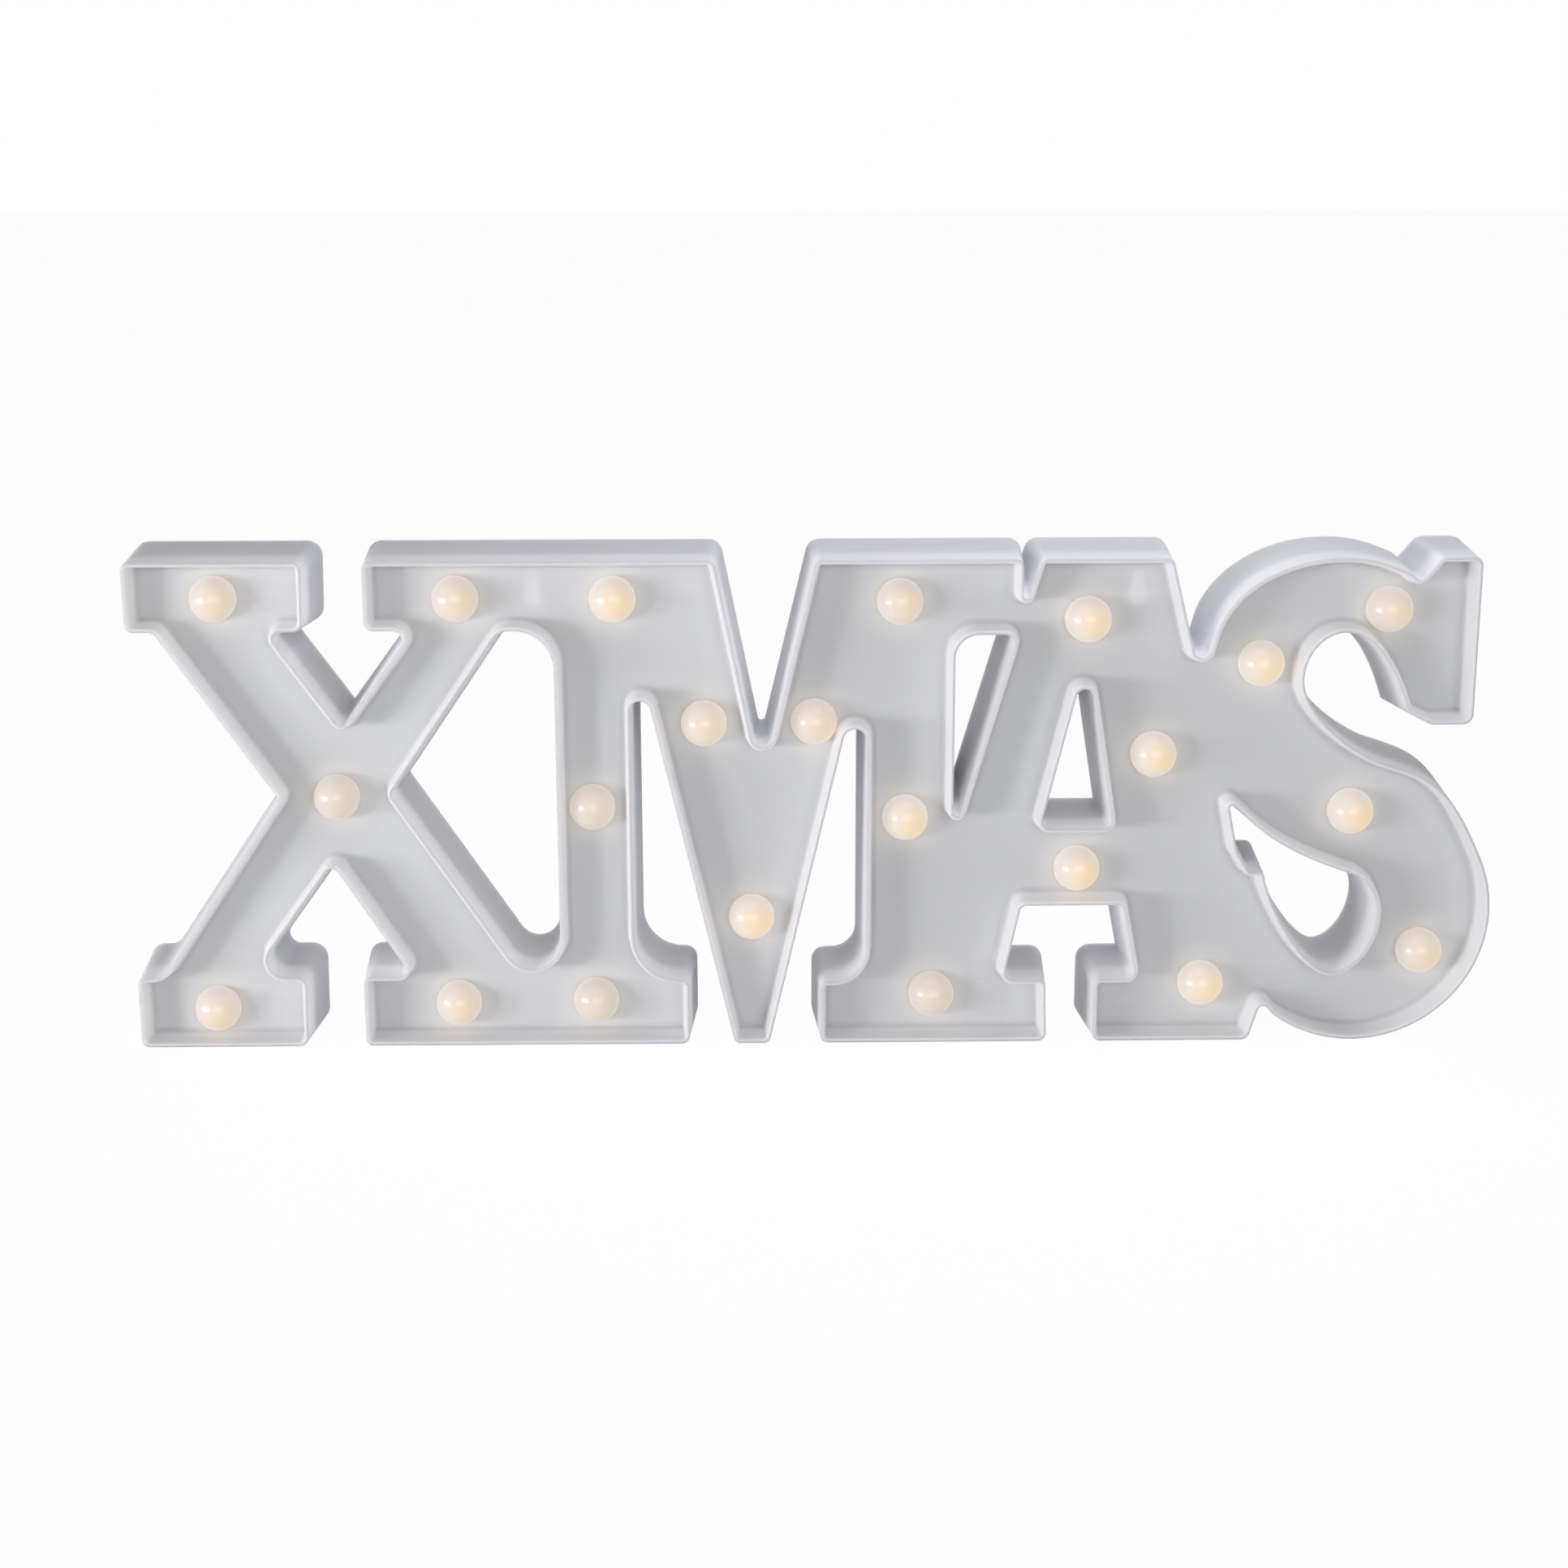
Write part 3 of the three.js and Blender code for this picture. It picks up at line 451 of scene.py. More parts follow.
    def slab(self, box: Box, radius: float, low: float, high: float,
             edge: float = 0.2) -> None:
        """Adds a closed slab with rounded corners and eased ends.

        Args:
            box: its least and greatest two coordinates in the ring's plane.
            radius: its corner radius.
            low: where it starts along the skin's line.
            high: where it ends.
            edge: how much its end edges are eased.
        """
        x0, z0, x1, z1 = box
        rings = []
        for inset, level in ((edge, low), (0, low + edge), (0, high - edge), (edge, high)):
            ring = rounded_box(x0 + inset, z0 + inset, x1 - inset, z1 - inset, radius)
            rings.append(self.ring(ring, level))
        self.closed(rings)

    def finish(self, name: str, sharp_deg: float = 40.0) -> bpy.types.Object:
        """Turns the skin into an object with clean shading.

        Args:
            name: the object's name.
            sharp_deg: the angle above which an edge stays sharp.

        Returns:
            The object, in the scene.
        """
        bmesh.ops.recalc_face_normals(self.mesh, faces=self.mesh.faces)
        data = bpy.data.meshes.new(name)
        self.mesh.to_mesh(data)
        self.mesh.free()
        data.set_sharp_from_angle(angle=math.radians(sharp_deg))
        made = bpy.data.objects.new(name, data)
        bpy.context.scene.collection.objects.link(made)
        weighted = made.modifiers.new("even_shading", "WEIGHTED_NORMAL")
        weighted.keep_sharp = True
        return made


# The word ---------------------------------------------------------------------------


@dataclass(frozen=True)
class LetterBox:
    """The box of one letter along the word, with shares of it as places."""

    left: float
    width: float
    height: float
    corner_r: float

    def place(self, x_share: float, z_share: float) -> Point:
        """Gives the place at a share of the box's width and height."""
        return self.left + x_share * self.width, z_share * self.height

    def corners(self, shares: Sequence[tuple[float, float, float]]) -> list[Corner]:
        """Gives corners from shares of width, height and common corner radius."""
        return [Corner(*self.place(x, z), turn * self.corner_r) for x, z, turn in shares]

    def curve(self, start: Corner, chain: Sequence[Sequence[Point]],
              steps: int) -> list[Corner]:
        """Follows a chain of cubic curves.

        Args:
            start: where the chain starts.
            chain: for each curve, its two handles and its end as shares of the box.
            steps: the steps in each curve.

        Returns:
            The points after the start.
        """
        points, begin = [], Vector((start.x, start.z))
        for shares in chain:
            first, second, end = (Vector(self.place(*share)) for share in shares)
            for k in range(1, steps + 1):
                t = k / steps
                spot = ((1 - t) ** 3 * begin + 3 * (1 - t) ** 2 * t * first
                        + 3 * (1 - t) * t ** 2 * second + t ** 3 * end)
                points.append(Corner(spot.x, spot.y))
            begin = end
        return points


@dataclass(frozen=True)
class Word:
    """The outline of the four joined capitals, in millimetres."""

    height: float = 220.5
    widths: tuple[float, float, float, float] = (123.0, 307.5, 114.0, 128.0)
    lap: float = 22.0
    notch_w: float = 7.9
    corner_r: float = 3.5
    belly_r: float = 59.5
    curve_steps: int = 20
    belly_step_deg: float = 3.0
    belly_from_deg: float = -127.0
    belly_sweep_deg: float = 151.0
    rounding: Rounding = Rounding()

    @property
    def boxes(self) -> list[LetterBox]:
        """The letter boxes.

        Returns:
            The four boxes from left to right.
        """
        made, left = [], 0.0
        for width in self.widths:
            made.append(LetterBox(left, width, self.height, self.corner_r))
            left += width - self.lap
        return made

    @property
    def length(self) -> float:
        """The word's whole width."""
        last = self.boxes[-1]
        return last.left + last.width

    def belly(self) -> list[Corner]:
        """The round belly of the last letter.

        Returns:
            Its points from lower left to upper right.
        """
        steps = round(self.belly_sweep_deg / self.belly_step_deg)
        points = arc(self.length - self.belly_r, self.belly_r, self.belly_r,
                     self.belly_from_deg, self.belly_from_deg + self.belly_sweep_deg, steps)
        return [Corner(x, z) for x, z in points]

    def outline(self) -> list[Corner]:
        """The outside of the word.

        Returns:
            Its corners, anticlockwise seen from the front.
        """
        x_box, m_box, a_box, s_box = self.boxes
        loop = x_box.corners([
            (0, 0, 1), (0.61, 0, 1.2), (0.614, 0.147, 1.2),
            (0.412, 0.147, 2.3), (0.726, 0.388, 0.9), (1, 0.147, 1)])
        loop += m_box.corners([
            (0, 0.147, 1), (0, 0, 1), (0.475, 0, 1), (0.475, 0.136, 1),
            (0.395, 0.136, 6.9), (0.395, 0.875, 1.28),
            (0.5415, 0, 0.9), (0.592, 0, 0.9),
            (0.733, 0.84, 1.48), (0.733, 0.134, 4), (0.667, 0.131, 0.9),
            (0.667, 0, 1), (1, 0, 1.1), (0.997, 0.131, 0.9), (0.935, 0.131, 1.1)])
        loop += a_box.corners([
            (0.083, 0.291, 0.9), (0.484, 0.291, 0.9), (0.544, 0.133, 1),
            (0.377, 0.133, 1.1), (0.377, 0, 1), (0.995, 0, 1.2)])
        loop += s_box.corners([(0.2125, 0.084, 0.7)])
        loop += self.belly()
        loop += s_box.curve(loop[-1], [
            [(0.8266, 0.5537), (0.759, 0.5515), (0.582, 0.587)],
            [(0.449, 0.621), (0.3086, 0.694), (0.3086, 0.757)],
            [(0.3086, 0.807), (0.371, 0.851), (0.447, 0.851)],
            [(0.57, 0.851), (0.6445, 0.746), (0.677, 0.686)]], self.curve_steps)
        loop += s_box.corners([
            (0.754, 0.6635, 0.85), (0.898, 0.6635, 1.3), (0.898, 1, 1),
            (0.762, 1, 0.85), (0.691, 0.951, 0.7), (0.656, 0.969, 0)])
        loop += s_box.curve(loop[-1], [
            [(0.582, 0.987), (0.5195, 1), (0.433, 1)],
            [(0.199, 1), (0.0266, 0.925), (-0.004, 0.836)]], self.curve_steps)
        loop += s_box.corners([(-0.0453, 0.752, 1.08)])
        loop += a_box.corners([(0.635, 1, 0.9), (0.135, 1, 0.9)])
        notch_x = loop[-1].x - self.notch_w
        loop += [Corner(notch_x, 0.878 * self.height, 0.45 * self.corner_r),
                 Corner(notch_x, self.height, 0.9 * self.corner_r)]
        loop += m_box.corners([
            (0.66, 1, 1), (0.582, 0.547, 1.34), (0.516, 1, 1),
            (0.022, 1, 1), (0.022, 0.8635, 1), (0.09, 0.8635, 1.3)])
        loop += x_box.corners([
            (0.781, 0.664, 0.86), (0.53, 0.862, 0.9), (0.6585, 0.862, 1.15),
            (0.664, 1, 1), (0.033, 1, 1), (0.035, 0.862, 1), (0.134, 0.862, 1.15),
            (0.549, 0.5215, 1.2), (0.091, 0.147, 2.6), (0, 0.147, 0.9)])
        return loop

    def openings(self) -> list[list[Corner]]:
        """The openings through the word.

        Returns:
            The corners of each, clockwise seen from the front.
        """
        x_box, m_box, a_box, s_box = self.boxes
        eye = s_box.corners([
            (0.1975, 0.359, 0.25), (0.1485, 0.359, 0.45), (0.103, 0.4035, 0.85),
            (0.0665, 0.508, 0.35), (0.129, 0.476, 0)])
        eye += s_box.curve(eye[-1], [
            [(0.2305, 0.4115), (0.402, 0.374), (0.5195, 0.3515)],
            [(0.574, 0.339), (0.6055, 0.304), (0.6055, 0.27)],
            [(0.6055, 0.2085), (0.535, 0.145), (0.449, 0.145)],
            [(0.375, 0.145), (0.234, 0.258), (0.1975, 0.359)]], self.curve_steps)[:-1]
        return [
            x_box.corners([(0.945, 0.531, 0.9)]) + m_box.corners(
                [(0.212, 0.862, 2.3), (0.288, 0.862, 4.9), (0.288, 0.03, 3.6)]),
            m_box.corners([(0.858, 0.429, 0.53), (0.858, 0.85, 3)])
            + a_box.corners([(0.049, 0.85, 1.15)]),
            a_box.corners([(0.151, 0.452, 0.9), (0.32, 0.8145, 1.17), (0.434, 0.452, 0.9)]),
            eye,
        ]

    def rings(self, out: float) -> list[list[Point]]:
        """Gives the outline and the openings at one depth, centred on the sign.

        Args:
            out: how far the sides are moved out of the solid.

        Returns:
            The outside ring, then the rings of the openings.
        """
        middle = self.length / 2
        loops = [self.outline(), *self.openings()]
        return [[(x - middle, z) for x, z in self.rounding.ring(loop, out)]
                for loop in loops]


# Finishes ---------------------------------------------------------------------------


WHITE = "#FFFFFF"


def linear(colour: str) -> tuple[float, float, float, float]:
    """Turns an sRGB hex colour to linear.

    Args:
        colour: the colour as six hex digits after a hash sign.

    Returns:
        Linear red, green and blue, and an alpha of one.
    """
    parts = [int(colour[i:i + 2], 16) / 255 for i in (1, 3, 5)]
    curve = [p / 12.92 if p <= 0.04045 else ((p + 0.055) / 1.055) ** 2.4 for p in parts]
    return curve[0], curve[1], curve[2], 1.0


def add_node(tree: bpy.types.NodeTree, kind: str, inputs: dict | None = None,
             **settings: object) -> bpy.types.Node:
    """Adds a node with its settings and links.

    Args:
        tree: the tree that the node joins.
        kind: the node's type.
        inputs: for each input, by name or number, a value or the socket that feeds it.
        **settings: the node's own properties.

    Returns:
        The node.
    """
    made = tree.nodes.new(kind)
    for name, value in settings.items():
        setattr(made, name, value)
    for key, value in (inputs or {}).items():
        if isinstance(value, bpy.types.NodeSocket):
            tree.links.new(value, made.inputs[key])
        else:
            made.inputs[key].default_value = value
    return made


def seen_straight(tree: bpy.types.NodeTree) -> bpy.types.NodeSocket:
    """Tells rays that show a surface to the eye from those that only light others.

    Args:
        tree: the tree that the nodes join.

    Returns:
        A socket that is one for a ray from the camera, a reflection or clear matter.
    """
    path = add_node(tree, "ShaderNodeLightPath").outputs
    seen = path["Is Camera Ray"]
    for other in ("Is Glossy Ray", "Is Transmission Ray"):
        seen = add_node(tree, "ShaderNodeMath", {0: seen, 1: path[other]},
                        operation="MAXIMUM").outputs[0]
    return seen


def blank_material(name: str) -> tuple[bpy.types.Material, bpy.types.NodeTree]:
    """Makes a material with an empty node tree.

    Args:
        name: the material's name.

    Returns:
        The material and its tree.
    """
    made = bpy.data.materials.new(name)
    made.use_nodes = True
    made.node_tree.nodes.clear()
    return made, made.node_tree


@dataclass(frozen=True)
class MouldedAbs:
    """White injection-moulded ABS with a fine eroded tool texture.

    The eye sees a cool, softly shining white. The rim's thin edge is painted greyer,
    painted shade that damps the light caught on its rounded edges. The wall in front of the
    panel
    lets light through, and this is painted: a paler front, painted light, fades to a darker
    back, painted shade. The texture's real grain of a few hundredths of a millimetre is too
    fine to show, so it is drawn at grain_mm.
    """

    name: str = "moulded_abs"
    # Painted shade on the rim's edge, and the wall painted paler in front, painted light,
    # and darker behind, painted shade
    rim_shade_colour: str = "#C3C3C7"
    lit_front_colour: str = "#F2F2F4"
    shaded_back_colour: str = "#E2E2E7"
    # Depths over which the rim's painted shade gives way to the front colour
    rim_shade_from: float = -21.9
    rim_shade_to: float = -20.4
    # Depths over which the painted light in front fades to the painted shade behind
    shade_fade_from: float = -16.0
    shade_fade_to: float = 22.0
    roughness: float = 0.6
    uneven: float = 0.05
    ior: float = 1.53
    grain_mm: float = 0.9
    grain_deep_mm: float = 0.05
    bump: float = 0.12
    cloud_mm: float = 45.0
    cloud: float = 0.035
    scatter: float = 1.0
    scatter_mm: float = 7.0
    scatter_tint: tuple[float, float, float] = (1.0, 0.95, 0.9)
    lamps: tuple[Point, ...] = ()
    lamp_y: float = -9.0
    halo_colour: str = "#FFE3B8"
    halo_from: float = 8.0
    halo_to: float = 23.0
    halo: float = 0.07

    def material(self) -> bpy.types.Material:
        """Makes the material.

        Returns:
            The material.
        """
        made, tree = blank_material(self.name)
        place = add_node(tree, "ShaderNodeTexCoord").outputs["Object"]
        depth = add_node(tree, "ShaderNodeSeparateXYZ", {0: place}).outputs["Y"]
        # Masks of the painted light and shade: from the front to the back, and at the rim's
        # edge
        light_to_shade, rim = (add_node(tree, "ShaderNodeMapRange", {
            "Value": depth, "From Min": start * MM, "From Max": end * MM,
        }, interpolation_type="SMOOTHSTEP").outputs["Result"] for start, end in (
            (self.shade_fade_from, self.shade_fade_to), (self.rim_shade_from, self.rim_shade_to)))
        cloud, grain = (add_node(tree, "ShaderNodeTexNoise", {
            "Vector": place, "Scale": 1 / (size * MM), "Detail": detail,
        }).outputs["Fac"] for size, detail in ((self.cloud_mm, 2.0), (self.grain_mm, 3.0)))
        # The rim's edge in painted shade beside the paler front, which is painted light
        wall = add_node(tree, "ShaderNodeMix", {
            "Factor": rim, "A": linear(self.rim_shade_colour), "B": linear(self.lit_front_colour),
        }, data_type="RGBA").outputs[2]
        # Then the painted shade of the back, past the panel
        base = add_node(tree, "ShaderNodeMix", {
            "Factor": light_to_shade, "A": wall, "B": linear(self.shaded_back_colour),
        }, data_type="RGBA").outputs[2]
        shade, rough = (add_node(tree, "ShaderNodeMapRange", {
            "Value": cloud, "To Min": middle - share, "To Max": middle + share,
        }).outputs["Result"] for middle, share in (
            (1.0, self.cloud), (self.roughness, self.uneven)))
        tinted = add_node(tree, "ShaderNodeMix", {
            "Factor": 1.0, "A": base, "B": shade,
        }, data_type="RGBA", blend_type="MULTIPLY").outputs[2]
        bump = add_node(tree, "ShaderNodeBump", {
            "Height": grain, "Strength": self.bump,
            "Distance": self.grain_deep_mm * MM}).outputs["Normal"]
        halo = self.halo_round(tree, place) if self.lamps else 0.0
        shader = add_node(tree, "ShaderNodeBsdfPrincipled", {
            "Base Color": tinted, "Roughness": rough, "Normal": bump, "IOR": self.ior,
            "Subsurface Weight": self.scatter, "Subsurface Radius": self.scatter_tint,
            "Subsurface Scale": self.scatter_mm * MM,
            "Emission Color": linear(self.halo_colour), "Emission Strength": halo})
        add_node(tree, "ShaderNodeOutputMaterial", {"Surface": shader.outputs[0]})
        return made

    def halo_round(self, tree: bpy.types.NodeTree,
                   place: bpy.types.NodeSocket) -> bpy.types.NodeSocket:
        """Gives the warm light that each lamp sends through the panel round its cap.

        Args:
            tree: the tree that the nodes join.
            place: the socket with the place on the surface.

        Returns:
            The socket with the light's strength.
        """
        away = [add_node(tree, "ShaderNodeVectorMath", {
            0: place, 1: (x * MM, self.lamp_y * MM, z * MM)}, operation="DISTANCE",
        ).outputs["Value"] for x, z in self.lamps]
        nearest = away[0]
        for other in away[1:]:
            nearest = add_node(tree, "ShaderNodeMath", {0: nearest, 1: other},
                               operation="MINIMUM").outputs[0]
        return add_node(tree, "ShaderNodeMapRange", {
            "Value": nearest, "From Min": self.halo_from * MM,
            "From Max": self.halo_to * MM, "To Min": self.halo, "To Max": 0.0,
        }, interpolation_type="SMOOTHERSTEP").outputs["Result"]


# The panel painted a flat grey white, painted shade, behind the wall round it painted
# paler, painted light let through the thin wall; each lamp's light is painted as a warm
# glow round its cap
RECESS_ABS = MouldedAbs(name="moulded_abs_recess", lit_front_colour="#E9E9EB",
                        shaded_back_colour="#D7D7D8", rim_shade_from=-22.3, rim_shade_to=-21.5,
                        shade_fade_from=-12.0, shade_fade_to=-8.0)
# One even white all over, which lets less light through
COVER_ABS = MouldedAbs(name="moulded_abs_cover", rim_shade_colour="#ECECEF",
                       lit_front_colour="#ECECEF", shaded_back_colour="#ECECEF", scatter=0.3)
DOOR_ABS = replace(COVER_ABS, name="moulded_abs_door")


class CapTone(Enum):
    """How strongly the lamp shows through its cap."""

    PALE = 0.4
    MIDDLE = 0.7
    WARM = 1.0


@dataclass(frozen=True)
class FrostedCap:
    """Milky moulded polypropylene over a warm lamp.

    The eye sees a pinkish white globe that glows a little, with a warmer patch where the
    lamp stands behind it. A pale cap glows less all over.
    """

    tone: CapTone = CapTone.MIDDLE
    shell_colour: str = "#A69C9A"
    warm_colour: str = "#AC9E8C"
    glow_colour: str = "#FFF4E5"
    warm_glow_colour: str = "#FFE3B4"
    glow: float = 0.47
    warm_glow: float = 0.54
    unlit_share: float = 0.7
    warm_place: tuple[float, float, float] = (3.4, -9.2, -0.8)
    warm_from: float = 1.0
    warm_to: float = 12.5
    roughness: float = 0.27
    ior: float = 1.49

    def material(self) -> bpy.types.Material:
        """Makes the material.

        Returns:
            The material.
        """
        made, tree = blank_material(f"frosted_polypropylene_{self.tone.name.lower()}")
        place = add_node(tree, "ShaderNodeTexCoord").outputs["Object"]
        away = add_node(tree, "ShaderNodeVectorMath", {
            0: place, 1: [MM * v for v in self.warm_place]}, operation="DISTANCE")
        warmth = add_node(tree, "ShaderNodeMapRange", {
            "Value": away.outputs["Value"], "From Min": self.warm_from * MM,
            "From Max": self.warm_to * MM, "To Min": self.tone.value, "To Max": 0.0},
            interpolation_type="SMOOTHSTEP").outputs["Result"]
        colour = add_node(tree, "ShaderNodeMix", {
            "Factor": warmth, "A": linear(self.shell_colour), "B": linear(self.warm_colour),
        }, data_type="RGBA").outputs[2]
        light = add_node(tree, "ShaderNodeMix", {
            "Factor": warmth, "A": linear(self.glow_colour),
            "B": linear(self.warm_glow_colour)}, data_type="RGBA").outputs[2]
        level = self.unlit_share + (1 - self.unlit_share) * self.tone.value
        glow = add_node(tree, "ShaderNodeMapRange", {
            "Value": warmth, "To Min": level * self.glow,
            "To Max": level * self.warm_glow}).outputs["Result"]
        shader = add_node(tree, "ShaderNodeBsdfPrincipled", {
            "Base Color": colour, "Roughness": self.roughness, "IOR": self.ior,
            "Emission Color": light, "Emission Strength": glow})
        add_node(tree, "ShaderNodeOutputMaterial", {"Surface": shader.outputs[0]})
        return made


@dataclass(frozen=True)
class PlainFinish:
    """One colour with an uneven shine and a fine grain, and a band of a second colour.

    The grain, grain_mm wide, is drawn coarser than the real one so that it shows.
    """

    name: str
    colour: str
    roughness: float
    grain_mm: float
    uneven: float = 0.1
    bump: float = 0.1
    grain_deep_mm: float = 0.05
    metallic: float = 0.0
    ior: float = 1.5
    band_colour: str = ""
    band_from: float = 0.0

    def material(self) -> bpy.types.Material:
        """Makes the material.

        Returns:
            The material.
        """
        made, tree = blank_material(self.name)
        place = add_node(tree, "ShaderNodeTexCoord").outputs["Object"]
        grain = add_node(tree, "ShaderNodeTexNoise", {
            "Vector": place, "Scale": 1 / (self.grain_mm * MM), "Detail": 3.0,
        }).outputs["Fac"]
        rough = add_node(tree, "ShaderNodeMapRange", {
            "Value": grain, "To Min": self.roughness - self.uneven,
            "To Max": self.roughness + self.uneven}).outputs["Result"]
        bump = add_node(tree, "ShaderNodeBump", {
            "Height": grain, "Strength": self.bump,
            "Distance": self.grain_deep_mm * MM}).outputs["Normal"]
        colour = linear(self.colour)
        if self.band_colour:
            height = add_node(tree, "ShaderNodeSeparateXYZ", {0: place}).outputs["Z"]
            band = add_node(tree, "ShaderNodeMath", {0: height, 1: self.band_from * MM},
                            operation="GREATER_THAN").outputs[0]
            colour = add_node(tree, "ShaderNodeMix", {
                "Factor": band, "A": colour, "B": linear(self.band_colour),
            }, data_type="RGBA").outputs[2]
        shader = add_node(tree, "ShaderNodeBsdfPrincipled", {
            "Base Color": colour, "Metallic": self.metallic,
            "Roughness": rough, "Normal": bump, "IOR": self.ior})
        add_node(tree, "ShaderNodeOutputMaterial", {"Surface": shader.outputs[0]})
        return made


# Bright grey metal whose fine marks break up its shine
PLATED_STEEL = PlainFinish("nickel_plated_steel", "#C9C7C1", 0.3, 1.2, metallic=1.0)
PLATED_SCREW = replace(PLATED_STEEL, name="nickel_plated_screw", roughness=0.35)
# A glossy dark sleeve with a hard-edged pale band round its end
SHRINK_FILM = PlainFinish("cell_shrink_film", "#3E444C", 0.25, 6.0, 0.05, ior=1.57,
                          band_colour="#A9B0B8", band_from=37.0)
# Matt, faintly grainy black, and a lighter grey copy for the knob, painted light that lifts
# it from the dark slot
BLACK_NYLON = PlainFinish("black_nylon", "#1E1F22", 0.55, 0.4, bump=0.3)
LIT_KNOB_NYLON = replace(BLACK_NYLON, name="black_nylon_knob_lit", colour="#3A3B3F")
# Dull grey on the walls and floors of the sunk marks, painted shade that makes them show
MARK_SHADE = PlainFinish("painted_mark_shade", "#64676D", 0.6, 0.5)
# Pale, warm and shiny, like clear epoxy on a thin sleeved lead
CLEAR_LEAD = PlainFinish("clear_pvc_lead", "#EBD9AE", 0.25, 8.0, ior=1.52)


@dataclass(frozen=True)
class StudioBoard:
    """Matt white painted board of the floor, white to the eye and keeping a shadow."""

    name: str = "painted_board"
    colour: str = "#F2F2F2"
    white_share: float = 0.9
    white_level: float = 1.055

    def material(self) -> bpy.types.Material:
        """Makes the material.

        Returns:
            The material.
        """
        made, tree = blank_material(self.name)
        share = add_node(tree, "ShaderNodeMath", {
            0: seen_straight(tree), 1: self.white_share}, operation="MULTIPLY").outputs[0]
        paint = add_node(tree, "ShaderNodeBsdfDiffuse", {"Color": linear(self.colour)})
        white = add_node(tree, "ShaderNodeEmission", {
            "Color": linear(WHITE), "Strength": self.white_level})
        mixed = add_node(tree, "ShaderNodeMixShader", {
            0: share, 1: paint.outputs[0], 2: white.outputs[0]})
        add_node(tree, "ShaderNodeOutputMaterial", {"Surface": mixed.outputs[0]})
        return made


# The sign's pieces ------------------------------------------------------------------


def centre_of(node: str) -> Point:
    """Gives the middle of a node's box across and up, in millimetres."""
    low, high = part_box(node)
    return (low.x + high.x) / 2 / MM, (low.z + high.z) / 2 / MM


def put_in_place(made: bpy.types.Object, body: str, node: str) -> None:
    """Lets a piece ride its body and stand for its node.

    Args:
        made: the piece.
        body: the body that it moves with.
        node: the node that it replaces.
    """
    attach(made, body)
    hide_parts(node)


def spread(first: bpy.types.Object, count: int) -> list[bpy.types.Object]:
    """Gives a piece and copies of it.

    Args:
        first: the piece.
        count: how many there are in all.

    Returns:
        The piece and its copies, which share its mesh.
    """
    copies = [first.copy() for _ in range(count - 1)]
    for copy in copies:
        bpy.context.scene.collection.objects.link(copy)
    return [first, *copies]


